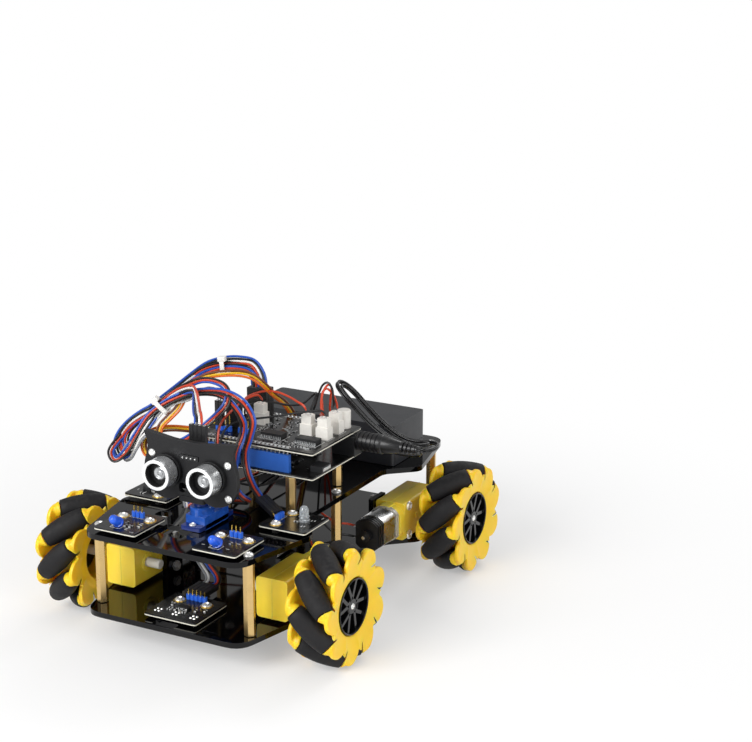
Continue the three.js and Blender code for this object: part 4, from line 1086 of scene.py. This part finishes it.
def makeUpperDeck():
    bm = bmesh.new()
    holes = [cutOutline(c) for c in upperCuts + [servoCut]] + [roundedOutline(wireOpening, 2)]
    addPlate(bm, deckOutline(), deck["upperBottom"], upperTop, 0, holes=holes)
    makePiece("upper_deck_plate", bm, [deckAcrylic], "chassis", "upper_deck", 0.3)
    bm = bmesh.new()
    for x, y in standoffs:
        addScrew(bm, (x, y, upperTop), (0, 0, 1), 2.8, 1.9, 1)
    for x, y in boardHoles:
        addTurned(bm, [(0, 2.5), (0.4, 2.9), (19.7, 2.9), (20.1, 2.5)], (x, y, upperTop), (0, 0, 1), 0, 6)
        addScrew(bm, (x, y, deck["upperBottom"]), (0, 0, -1), 2.6, 1.7, 1)
    makePiece("deck_screws", bm, [brass, screwSteel], "chassis", (), 0.15)


makeLowerDeck()
makeUpperDeck()
print("decks made")

# Boards


def addBoard(bm, outline, bottom):
    # black above and below, with the pale core showing as a line round the lower edge
    middle = Vector((sum(x for x, _ in outline), sum(y for _, y in outline))) / len(outline)
    core = []
    for x, y in outline:
        out = Vector((x, y)) - middle
        core.append(tuple(middle + out * (1 + 0.07 / out.length)))
    addPlate(bm, outline, bottom, bottom + 0.2, 0)
    addPlate(bm, core, bottom + 0.15, bottom + 0.75, 1)
    addPlate(bm, outline, bottom + 0.7, bottom + board["thickness"], 0)


pinRow = {"strip": 2.8, "pin": 0.32, "body": 1.36}


def addPinRow(bm, count, at, plastic, metal, height, lean=0.0):
    # a row of square pins in a plastic strip, standing on a board
    x, y, z = at
    pin = pinRow["pin"]
    for step in pinSteps(count):
        addPlate(bm, circle(x + step, y, pinRow["body"], 8), z, z + pinRow["strip"], plastic)
        foot = [(x + step + a * pin, y + b * pin, z) for a, b in square]
        tip = [(x + step + a * pin * 0.6, y - lean + b * pin * 0.6, z + height) for a, b in square]
        addFaces(bm, foot + tip, boxFaces, metal)


def addChip(bm, size, at, body, legs, perSide):
    # a flat chip with legs along its two long sides
    w, d, h = size
    x, y, z = at
    addBlock(bm, (w, d * 0.8, h - 0.2), (x, y, z + 0.2), body)
    for i in range(perSide):
        px = x + (i - (perSide - 1) / 2) * w / perSide
        for side in (-1, 1):
            addBlock(bm, (w / perSide * 0.42, d * 0.14, 0.25), (px, y + side * d * 0.47, z), legs)
            addBlock(bm, (w / perSide * 0.42, 0.3, h * 0.5), (px, y + side * d * 0.41, z), legs)


ink = {"height": 0.05, "finish": 2}


def addMarkDots(bm, places, z, size):
    for x, y in places:
        addBlock(bm, (*size, ink["height"]), (x, y, z), ink["finish"])


def addMarkBox(bm, x, y, w, d, z, line=0.22):
    # a printed outline on a board
    for side in (-1, 1):
        addMarkDots(bm, [(x, y + side * d / 2)], z, (w, line))
        addMarkDots(bm, [(x + side * w / 2, y)], z, (line, d))


def addParts(bm, seed, box, z, finishes, count):
    # small surface parts: a dark body with two tinned ends
    pick = random.Random(seed)
    x0, y0, x1, y1 = box
    for _ in range(count):
        x, y = pick.uniform(x0, x1), pick.uniform(y0, y1)
        turned = pick.random() < 0.5
        size, cap = ((2, 1.1), (0.5, 1.15)) if turned else ((1.1, 2), (1.15, 0.5))
        addBlock(bm, (*size, 0.5), (x, y, z), finishes[0])
        for side in (-1, 1):
            dx, dy = (side * 0.85, 0) if turned else (0, side * 0.85)
            addBlock(bm, (*cap, 0.55), (x + dx, y + dy, z), finishes[1])


board = {"length": 68.6, "depth": 53.4, "thickness": 1.6, "inset": 2.54}


def boardCorners():
    low = nodeBox("driver_shield")[0]
    return low, Vector((low.x + board["length"], low.y + board["depth"], 0))


def contactRows():
    # the four rows that join the two boards, as (pins, x, y)
    low, far = boardCorners()
    front, rear = low.y + board["inset"], far.y - board["inset"]
    rows = [(10, 28.3, front), (8, 57.5, front), (8, 36.8, rear), (6, 57.2, rear)]
    return [(pins, far.x - fromRight, y) for pins, fromRight, y in rows]


def addBoardSheet(bm, bottom):
    low, far = boardCorners()
    middle = ((low.x + far.x) / 2, (low.y + far.y) / 2)
    addBoard(bm, roundedBox(*middle, board["length"], board["depth"], 1.4), bottom)
    return middle


controller = {"strip": 9.8, "jack": (14, 9, 11), "leadSocket": (7.4, 9, 3.2), "leadFromFront": 14}


def makeControllerBoard():
    low, far = boardCorners()
    bottom = nodeBox("controller_board")[0].z
    top = bottom + board["thickness"]
    right, front = far.x, low.y
    black, blue, metal, chip = range(2, 6)  # places in finishes
    bm = bmesh.new()
    middle = addBoardSheet(bm, bottom)
    high = controller["strip"]
    pins = low.z - top - 0.3 - high  # from the contact strips up to the board above
    for row, (count, x, y) in enumerate(contactRows()):
        addBlock(bm, (count * pitch, 2.5, high), (x, y, top), blue if row < 2 else black)
        for step in pinSteps(count):
            addBlock(bm, (0.6, 0.6, pins), (x + step, y, top + high), metal)
            addBlock(bm, (0.8, 0.8, 1.4), (x + step, y, bottom - 1.2), metal)
    jackY = nodeBox("dc_plug")[0].y + 5.4
    leadY = front + controller["leadFromFront"]
    addBlock(bm, controller["jack"], (right - 5, jackY, top), chip)
    addBlock(bm, controller["leadSocket"], (right - 3.4, leadY, top), chip)
    addBlock(bm, (1.2, 7.6, 1.6), (right + 0.1, leadY, top + 0.8), metal)
    addBlock(bm, (18, 24, 3), (middle[0] - 14, middle[1] + 2, top), metal)
    addChip(bm, (9, 9, 1.5), (right - 26, front + 21, top), chip, metal, 10)
    addParts(bm, 3, (right - 45, front + 8, right - 16, front + 40), top, (chip, metal), 24)
    finishes = [maskBlack, boardEdge, headerBlack, socketBlue, tinned, chipBlack]
    makePiece("controller_board_fitted", bm, finishes, "chassis", "controller_board", 0.12)


def addSocket(bm, at, finish, metal):
    # a white two-pin socket with its plug in it
    x, y, z = at
    addBlock(bm, (7.4, 5.8, 6.6), (x, y, z), finish)
    addBlock(bm, (6.0, 4.6, 5.2), (x, y, z + 6.4), finish)
    for side in (-1, 1):
        addBlock(bm, (1.2, 1.0, 1.2), (x + side * 1.3, y + 1.9, z + 10.6), finish)
        addRound(bm, 0.55, (x + side * 1.25, y, z + 11), (x + side * 1.25, y, z + 12), metal, 10)


def addPlugHousing(bm, pins, at, finish, height, rows):
    # black crimp housings side by side on a header, one window in each
    x, y, z = at
    for row in range(rows):
        py = y + (row - (rows - 1) / 2) * 2.7
        for step in pinSteps(pins):
            addBlock(bm, (2.5, 2.5, height), (x + step, py, z), finish)
            addBlock(bm, (1.0, 2.66, 2.6), (x + step, py, z + height * 0.45), finish)


shield = {  # places as (distance from the right edge, distance from the front edge)
    "chips": [(33, 15), (11.5, 15)],
    "sockets": [(18.4, 27), (7.6, 25.5), (7.6, 38), (52, 32.5)],
    "capacitor": (8, 48),
    "headers": [(4, 63, 12), (3, 50.5, 13)],  # after the number of pins
    "plugs": [(3, 62.5, 22, 14, 2), (5, 61, 46.5, 16, 3)],  # the same, with height and rows at the end
    "servoRow": -27.4,  # a place along y
}


def makeShield():
    low, far = boardCorners()
    bottom = low.z
    top = bottom + board["thickness"]
    right, front, rear = far.x, low.y, far.y
    metal, chip, header, white, gold, crimp = range(3, 9)  # places in finishes
    bm = bmesh.new()
    addBoardSheet(bm, bottom)
    for fromRight, fromFront in shield["chips"]:
        x, y = right - fromRight, front + fromFront
        addChip(bm, (13, 7.5, 2.8), (x, y, top), chip, metal, 12)
        addMarkBox(bm, x, y, 15, 9.6, top)
    for fromRight, fromFront in shield["sockets"]:
        x, y = right - fromRight, front + fromFront
        addSocket(bm, (x, y, top), white, metal)
        addMarkBox(bm, x, y, 9, 7.2, top)
    can = [(0, 3.9), (0.6, 4), (1.2, 3.7), (9.6, 3.85), (10.1, 3.5), (10.1, 3.2), (9.9, 0)]
    fromRight, fromFront = shield["capacitor"]
    addTurned(bm, can, (right - fromRight, front + fromFront, top), (0, 0, 1), white, 28)
    for pins, fromRight, fromFront in shield["headers"]:
        addPinRow(bm, pins, (right - fromRight, front + fromFront, top), header, gold, 9)
    for pins, fromRight, fromFront, height, rows in shield["plugs"]:
        addPlugHousing(bm, pins, (right - fromRight, front + fromFront, top), crimp, height, rows)
    joint = [(0, 0.95), (0.25, 0.7), (0.7, 0.25), (0.8, 0)]
    for count, x, y in contactRows():
        for step in pinSteps(count):
            addTurned(bm, joint, (x + step, y, top), (0, 0, 1), metal, 8)
        inner = y + (2.1 if y < 0 else -2.1)
        addMarkDots(bm, [(x + step, inner) for step in pinSteps(count)], top, (1.5, 0.35))
        addMarkBox(bm, x, y, count * pitch, 2.5, top, 0.16)
    addParts(bm, 7, (right - 48, front + 20, right - 24, rear - 8), top, (chip, metal), 34)
    addParts(bm, 9, (right - 30, front + 6, right - 3, front + 9.4), top, (chip, metal), 12)
    pick = random.Random(5)
    marks = [(pick.uniform(low.x + 4, right - 12), pick.uniform(front + 5, rear - 5)) for _ in range(46)]
    addMarkDots(bm, marks, top, (1.7, 0.3))
    rowY = shield["servoRow"]
    addBlock(bm, (2.4, 7.8, 2.6), (low.x + 2.4, rowY, bottom - 2.9), crimp)  # strip for the servo's plug
    for step in pinSteps(3):
        addBlock(bm, (8, 0.6, 0.6), (low.x - 2.4, rowY + step, bottom - 1.9), gold)
    finishes = [maskBlack, boardEdge, markWhite, tinned, chipBlack, headerBlue, socketWhite, goldPin,
                headerBlack]
    makePiece("driver_shield_fitted", bm, finishes, "chassis", "driver_shield", 0.12)


makeControllerBoard()
makeShield()
print("boards made")

# Battery case


def makeCase():
    low, high = nodeBox("battery_case")
    x, y = (low.x + high.x) / 2, (low.y + high.y) / 2
    w, d = high.x - low.x, high.y - low.y
    seam = low.z + (high.z - low.z) * 0.3
    bm = bmesh.new()
    addPlate(bm, roundedBox(x, y, w, d, 2.4), low.z, seam, 0)
    addPlate(bm, roundedBox(x, y, w, d, 2.4), seam + 0.2, high.z, 0)
    addPlate(bm, roundedBox(x, y, w - 0.5, d - 0.5, 2.2), seam - 0.4, seam + 0.6, 0)
    addTurned(bm, [(0, 2.0), (0.1, 1.9), (0.12, 0)], (high.x, y - 8, low.z + 12), (1, 0, 0), 1, 16)
    makePiece("battery_case_shell", bm, [caseGrey, plugRubber], "chassis", "battery_case",
              0.6)


dcPlug = {"barrel": 7, "barrelRadius": 2.7, "grips": 5, "gripStep": 2.6, "ribs": 4, "ribStep": 2.4}


def makePlug():
    low, high = nodeBox("dc_plug")
    y, z = (low.y + high.y) / 2, (low.z + high.z) / 2
    start = (low.x + dcPlug["barrel"], y, z)
    bm = bmesh.new()
    body = [(0, 4.9), (0.5, 5.3)]
    for k in range(dcPlug["grips"]):
        at = 1.8 + k * dcPlug["gripStep"]
        body += [(at, 5.4), (at + 0.2, 4.9), (at + 0.8, 4.9), (at + 1, 5.4)]
    body += [(15.4, 5.4), (15.8, 5.1), (16, 4.8)]
    cone = [(15.6, 4.9), (17, 4.8), (26, 3.3), (26.4, 2.9), (26.4, 0)]
    relief = [(26.2, 2.2)]
    for k in range(dcPlug["ribs"]):
        at = 26.6 + k * dcPlug["ribStep"]
        relief += [(at, 3.4 - k * 0.25), (at + 1.3, 3.3 - k * 0.25), (at + 1.35, 2.1), (at + 2.35, 2.1)]
    relief += [(36.2, 2.4), (37, 2.1), (37, 0)]
    for profile, sides in ((body, 36), (cone, 28), (relief, 24)):
        addTurned(bm, profile, start, (1, 0, 0), 0, sides)
    addRound(bm, dcPlug["barrelRadius"], (low.x, y, z), (start[0] + 1, y, z), 1, 20)
    makePiece("dc_plug_moulding", bm, [plugRubber, tinned], "chassis", "dc_plug", 0)


makeCase()
makePlug()
print("case and plug made")

# Sensor head and its servo
head = {"x": 1.5, "y": -77.5, "faceY": -86.8, "bottom": 77.5, "plate": 3, "eyeSpacing": 27, "eyeZ": 93.8,
        "eyeRadius": 8.1, "eyeFront": -98.8, "screwX": 23.3, "screwSpacing": 18, "pinsZ": 102}

# right half of the plate, as (across, up, corner radius) from the middle of its lower edge
bracketHalf = [(7.4, 3.4, 3), (10.6, 0, 4), (19, 0, 5), (26.8, 5, 6), (29.2, 14, 5), (27.6, 21.6, 3),
               (25.4, 28, 4), (28.6, 35.8, 1.6), (20, 34.6, 4), (9, 33, 4)]


def bracketOutline():
    return roundedOutline(bracketHalf + [(-x, y, r) for x, y, r in reversed(bracketHalf)])


def makeBracket():
    bm = bmesh.new()
    place = alongY(head["x"], head["bottom"])
    front = -head["faceY"]
    eyes = [circle(side * head["eyeSpacing"] / 2, head["eyeZ"] - head["bottom"], head["eyeRadius"] + 0.3, 40)
            for side in (-1, 1)]
    ovals = [roundedBox(side * 5, 7.6, 4.6, 5.4, 2.2) for side in (-1, 1)]
    holes = [*eyes, *ovals, roundedBox(0, head["pinsZ"] - head["bottom"], 11.4, 3, 0.4)]  # the last for pins
    addPlate(bm, bracketOutline(), front - head["plate"], front, 0, holes=holes, place=place)
    base = roundedBox(head["x"], head["y"] + 3 - 4.65, 16, 15.3, 2)
    addPlate(bm, base, head["bottom"], head["bottom"] + 3, 0)
    addTurned(bm, [(0, 3.6), (4.2, 3.6)], (head["x"], head["y"], head["bottom"] - 4), (0, 0, 1), 2, 24)
    addScrew(bm, (head["x"], head["y"], head["bottom"] + 3), (0, 0, 1), 2.4, 1.4, 1)
    for side in (-1, 1):
        for up in (-1, 1):
            x = head["x"] + side * head["screwX"]
            z = head["eyeZ"] - 1.4 + up * head["screwSpacing"] / 2
            addScrew(bm, (x, head["faceY"], z), (0, -1, 0), 2.1, 1.3, 1)
    makePiece("head_bracket", bm, [bracketBlack, screwSteel, servoDark], "sensor_head", "sensor_bracket",
              0.3)


def makeEyes():
    # two open cups on the sensor's board, each with a black collar, a steel can and a bright rim
    can, rim, dark, silver, black, bright = range(2, 8)  # places in finishes
    bm = bmesh.new()
    behind = head["faceY"] + head["plate"] + 0.3
    sheet = roundedBox(0, head["eyeZ"], 46, 21, 1)
    addPlate(bm, sheet, -behind - 1.6, -behind, 0, 1, place=alongY(head["x"], 0))
    front = behind - head["eyeFront"]
    collar = head["plate"] + 0.6
    r = head["eyeRadius"]
    bore = r - 1.7
    rings = [
        (black, [(0, r - 0.1), (collar, r - 0.1)]),
        (black, [(collar - 0.1, r + 0.7), (collar + 2, r + 0.7)]),
        (black, [(collar + 1.9, r - 0.6), (collar + 2.9, r - 0.6)]),
        (can, [(collar + 2.8, r - 0.3), (collar + 3.1, r), (front - 0.6, r)]),
        (rim, [(front - 0.7, r + 0.05), (front - 0.25, r + 0.05), (front, r - 0.3), (front, bore + 0.3)]),
        (dark, [(front - 5, bore + 0.05), (front - 0.5, bore + 0.05)]),
    ]
    for side in (-1, 1):
        start = (head["x"] + side * head["eyeSpacing"] / 2, behind, head["eyeZ"])
        for finish, outside in rings:
            inside = bore - 0.25 if finish == dark else bore
            first, last = outside[0][0], outside[-1][0]
            last -= 0.3 if finish == rim else 0
            ring = [(first, inside), *outside, (last, inside), (first, inside)]
            addTurned(bm, ring, start, (0, -1, 0), finish, 48)
        floor = [(front - 6, bore + 0.04), (front - 4.8, bore + 0.04), (front - 4.8, 0)]
        addTurned(bm, floor, start, (0, -1, 0), dark, 40)
        cone = [(front - 5, 3.8), (front - 4.2, 3.7), (front - 3.7, 3), (front - 4.2, 1.4), (front - 3.6, 0)]
        addTurned(bm, cone, start, (0, -1, 0), silver, 32)
    frontPins = (head["x"], head["faceY"] + head["plate"] / 2 - 0.25, head["pinsZ"] - 1.3)
    addBlock(bm, (11, head["plate"] + 0.5, 2.6), frontPins, black)
    rearPins = (head["x"] - 0.5, behind + 4.4, head["pinsZ"] - 3.6)
    addBlock(bm, (10.4, 5.8, 2.6), rearPins, black)
    for step in pinSteps(4):
        root = Vector((head["x"] + step, head["faceY"], head["pinsZ"]))
        addRound(bm, 0.45, root, root - Vector((0, 1.2, 0)), bright, 10)
        addBlock(bm, (0.6, 0.6, 10), (rearPins[0] + step, head["y"] + 0.1, rearPins[2] + 1), bright)
    finishes = [maskBlack, boardEdge, canSteel, canRim, canDark, coneSilver, headerBlack, screwSteel]
    makePiece("ultrasonic_eyes", bm, finishes, "sensor_head", "ultrasonic_sensor", 0.1)


servo = {"width": 12.2, "length": 22.8, "tab": 32.4, "tabThickness": 2.4, "tabBottom": 62.4, "below": 15.9,
         "above": 4.4, "boss": 5.9, "bossHeight": 4}


def makeServo():
    bm = bmesh.new()
    x = head["x"]
    middle = head["y"] - servo["boss"] + servo["length"] / 2
    bottom = servo["tabBottom"] - servo["below"]
    top = servo["tabBottom"] + servo["tabThickness"] + servo["above"]
    addPlate(bm, roundedBox(x, middle, servo["width"], servo["length"], 0.7), bottom, top, 0)
    seam = roundedBox(x, middle, servo["width"] + 0.15, servo["length"] + 0.15, 0.7)
    addPlate(bm, seam, bottom + 4, bottom + 4.3, 1)
    tab = roundedBox(x, middle, servo["width"], servo["tab"], 1.2)
    addPlate(bm, tab, servo["tabBottom"], servo["tabBottom"] + servo["tabThickness"], 1)
    boss = servo["boss"]
    addTurned(bm, [(0, boss), (servo["bossHeight"] - 0.4, boss), (servo["bossHeight"], boss - 0.5)],
              (x, head["y"], top), (0, 0, 1), 0, 32)
    addTurned(bm, [(0, 2.6), (servo["bossHeight"] - 0.3, 2.6), (servo["bossHeight"], 2.3)],
              (x, head["y"] + 7.6, top), (0, 0, 1), 0, 20)
    for end in (-1, 1):
        y = middle + end * (servo["tab"] + servo["length"]) / 4
        addScrew(bm, (x, y, servo["tabBottom"] + servo["tabThickness"]), (0, 0, 1), 1.9, 1.3, 2)
    makePiece("servo_body", bm, [servoBlue, servoDark, screwSteel], "chassis", "servo", 0.25)


makeBracket()
makeEyes()
makeServo()
print("head made")

# Small boards
module = {"width": 26, "depth": 28, "spacer": 1.2, "screwSpacing": 17}
smallBoard = [maskBlack, boardEdge, markWhite, screwSteel, chipBlack, headerBlue]
metal, chip, header, lens, gold, white, black = range(3, 10)  # places in a small board's finishes
modules = {  # kind, middle and quarter turns
    "led_module_left": ("lamp", -29.5, -98.3, 0),
    "led_module_right": ("lamp", 31.5, -98.3, 0),
    "receiver_module": ("receiver", 45, -56, 1),
    "buzzer_module": ("buzzer", -45, -50, -1),
}


def addFixings(bm, x, y, z, top):
    # two screws with gold pads, and the spacers that they hold under the board
    for side in (-1, 1):
        sx = x + side * module["screwSpacing"] / 2
        addTurned(bm, [(0, 3.6), (0.08, 3.6), (0.08, 0)], (sx, y, top), (0, 0, 1), gold, 28)
        addScrew(bm, (sx, y, top), (0, 0, 1), 2.7, 1.8, metal)
        addRound(bm, 2.2, (sx, y, z), (sx, y, z + module["spacer"]), white, 16)


def addLamp(bm, top):
    for side in (-1, 1):  # the lens lies forward on its two legs
        addRound(bm, 0.3, (-2 + side * 1.27, -8, top), (-2 + side * 1.27, -8.2, top + 2.6), metal, 8)
    dome = [(-1, 2.9), (0, 2.9), (0.1, 2.5), (4.6, 2.5), (5.9, 2.0), (6.6, 1.2), (6.8, 0)]
    addTurned(bm, dome, (-2, -7.4, top + 2.2), (0, -0.81, 0.58), lens, 28)
    addMarkBox(bm, -2, -8, 6, 5, top)


def makeModule(name, kind, x, y, quarters):
    z = nodeBox(name)[0].z
    top = z + module["spacer"] + board["thickness"]
    bm = bmesh.new()
    addBoard(bm, roundedBox(0, 0, module["width"], module["depth"], 1.6), z + module["spacer"])
    addPinRow(bm, 3, (-0.5, 8.5, top), header, gold, *((4.4, -3.2) if kind == "receiver" else (6, 0)))
    addMarkBox(bm, -0.5, 8.5, 3.6 * pitch, 3.6, top, 0.2)
    addFixings(bm, 0, 6, z, top)
    addParts(bm, 11 + len(name), (-10, -6, 9, 1), top, (chip, metal), 5)
    pick = random.Random(len(name))
    marks = [(pick.uniform(-10, 10), pick.uniform(-12, 1)) for _ in range(9)]
    addMarkDots(bm, marks, top, (1.8, 0.35))
    if kind == "lamp":
        addLamp(bm, top)
    if kind == "receiver":
        dome = [(0, 2.9), (0.8, 2.9), (0.9, 2.5), (6, 2.5), (7.6, 2.0), (8.4, 1.1), (8.6, 0)]
        addTurned(bm, dome, (2, -5, top), (0, 0, 1), lens, 28)
    if kind == "buzzer":
        case = [(0, 4.6), (1.8, 4.6), (2.1, 4.3), (2.1, 1.1), (1.5, 1), (1.5, 0)]
        addTurned(bm, case, (0, -5, top), (0, 0, 1), chip, 36)
    bmesh.ops.rotate(bm, matrix=Matrix.Rotation(quarters * math.pi / 2, 3, "Z"), verts=bm.verts)
    bmesh.ops.translate(bm, vec=(x, y, 0), verts=bm.verts)
    glass = ledBlue if kind == "lamp" else ledClear
    finishes = [*smallBoard, glass, goldPin, socketWhite]
    makePiece(name + "_fitted", bm, finishes, "chassis", name, 0.12)


for name, (kind, x, y, quarters) in modules.items():
    makeModule(name, kind, x, y, quarters)


tracker = {"x": 1.5, "y": -94.5, "width": 32, "depth": 30, "gap": 0.3}


def makeTracker():
    x, y = tracker["x"], tracker["y"]
    z = deck["lowerTop"] + tracker["gap"]
    top = z + 2.8
    bm = bmesh.new()
    addBoard(bm, roundedBox(x, y, tracker["width"], tracker["depth"], 1.5), z + module["spacer"])
    addPinRow(bm, 5, (x, y + 10.5, top), header, gold, 5.8)
    # strip that the two plugs behind it sit on
    addBlock(bm, (12.8, 1.5, 2.8), (x - 3.85, y + 12.75, top), black)
    for step in pinSteps(5):
        addBlock(bm, (0.6, 8, 0.6), (x - 3.85 + step, y + 17, top + 1.2), gold)
    addFixings(bm, x, y + 7, z, top)
    for side in (-1, 0, 1):
        addBlock(bm, (4, 3, 1), (x + side * 13, y - 9, z + 0.2), chip)
        for k in range(4):
            joint = (x + side * 11 + (k % 2 - 0.5) * 2.2, y - 10 + (k // 2) * 2.6, top)
            addTurned(bm, [(0, 0.8), (0.5, 0.5), (0.6, 0)], joint, (0, 0, 1), metal, 10)
    addParts(bm, 21, (x - 12, y - 6, x + 12, y + 3), top, (chip, metal), 12)
    addChip(bm, (6, 4.5, 1.3), (x, y - 1, top), chip, metal, 5)
    finishes = [*smallBoard, ledClear, goldPin, socketWhite, headerBlack]
    makePiece("line_tracker_fitted", bm, finishes, "chassis", "line_tracker", 0.12)


makeTracker()
print("small boards made")

# Floor, backdrop and lamps
studio = {"floor": "#f4f4f4", "world": 0.45, "nearFloor": 0.35, "fadeStart": 0.12, "fadeEnd": 0.4}


def addSeen(tree, *kinds):
    # 1 for the named kinds of light ray
    path = addNode(tree, "LightPath")
    total = path.outputs[kinds[0]]
    for kind in kinds[1:]:
        both = addNode(tree, "Math", operation="MAXIMUM")
        tree.links.new(total, both.inputs[0])
        tree.links.new(path.outputs[kind], both.inputs[1])
        total = both.outputs[0]
    return total


def makeFloor():
    bm = bmesh.new()
    bmesh.ops.create_grid(bm, x_segments=1, y_segments=1, size=4)
    floor = meshObject("floor", bm)
    material = surface("studio paper", studio["floor"], (0.85, 0.95), 0.01, 2, 60, 0)
    floor.data.materials.append(material)
    fadeFloor(material.node_tree)


def fadeFloor(tree):
    # paper near the car, where its shadow lies, and plain white further away
    fade = {"From Min": studio["fadeStart"], "From Max": studio["fadeEnd"], "To Min": studio["nearFloor"]}
    nodes = {
        "place": addNode(tree, "TexCoord"),
        "away": addNode(tree, "VectorMath", operation="LENGTH"),
        "fade": addNode(tree, "MapRange", fade, interpolation_type="SMOOTHSTEP"),
        "share": addNode(tree, "Math", operation="MULTIPLY"),
        "white": addNode(tree, "Emission"),
        "mix": addNode(tree, "MixShader"),
        "paper": tree.nodes["Principled BSDF"],
        "floor": tree.nodes["Material Output"],
    }
    joinNodes(tree, nodes, [
        "place.Object > away.0", "away.Value > fade.Value", "fade.Result > share.0", "share.0 > mix.Fac",
        "paper.0 > mix.1", "white.0 > mix.2", "mix.0 > floor.Surface",
    ])
    seen = addSeen(tree, "Is Camera Ray", "Is Glossy Ray", "Is Transmission Ray")
    tree.links.new(seen, nodes["share"].inputs[1])


def makeWorld():
    world = bpy.data.worlds.new("studio")
    world.use_nodes = True
    scene.world = world
    tree = world.node_tree
    sky = tree.nodes["Background"]
    sky.inputs["Color"].default_value = (1, 1, 1, 1)
    level = addNode(tree, "MapRange", {"To Min": studio["world"]})
    tree.links.new(addSeen(tree, "Is Camera Ray", "Is Transmission Ray"), level.inputs["Value"])
    tree.links.new(level.outputs["Result"], sky.inputs["Strength"])


softBoxes = {  # power, place, width and height
    "key": (16, (-0.35, -1.2, 0.75), (0.8, 0.7)),
    "fill": (8, (1.3, -0.5, 0.6), (0.9, 0.9)),
    "rim": (7, (0.2, 1.2, 1.1), (0.9, 0.6)),
}


def addSoftBox(name, power, place, size):
    data = bpy.data.lights.new(name, "AREA")
    data.shape = "RECTANGLE"
    data.size, data.size_y = size
    data.energy = power
    lamp = bpy.data.objects.new(name, data)
    lamp.location = place
    lamp.rotation_euler = (Vector(place) - Vector((0, 0, 0.05))).to_track_quat("Z", "Y").to_euler()
    scene.collection.objects.link(lamp)


makeFloor()
makeWorld()
for name, (power, place, size) in softBoxes.items():
    addSoftBox(name, power, place, size)
scene.view_settings.view_transform = "Standard"
print("studio made")
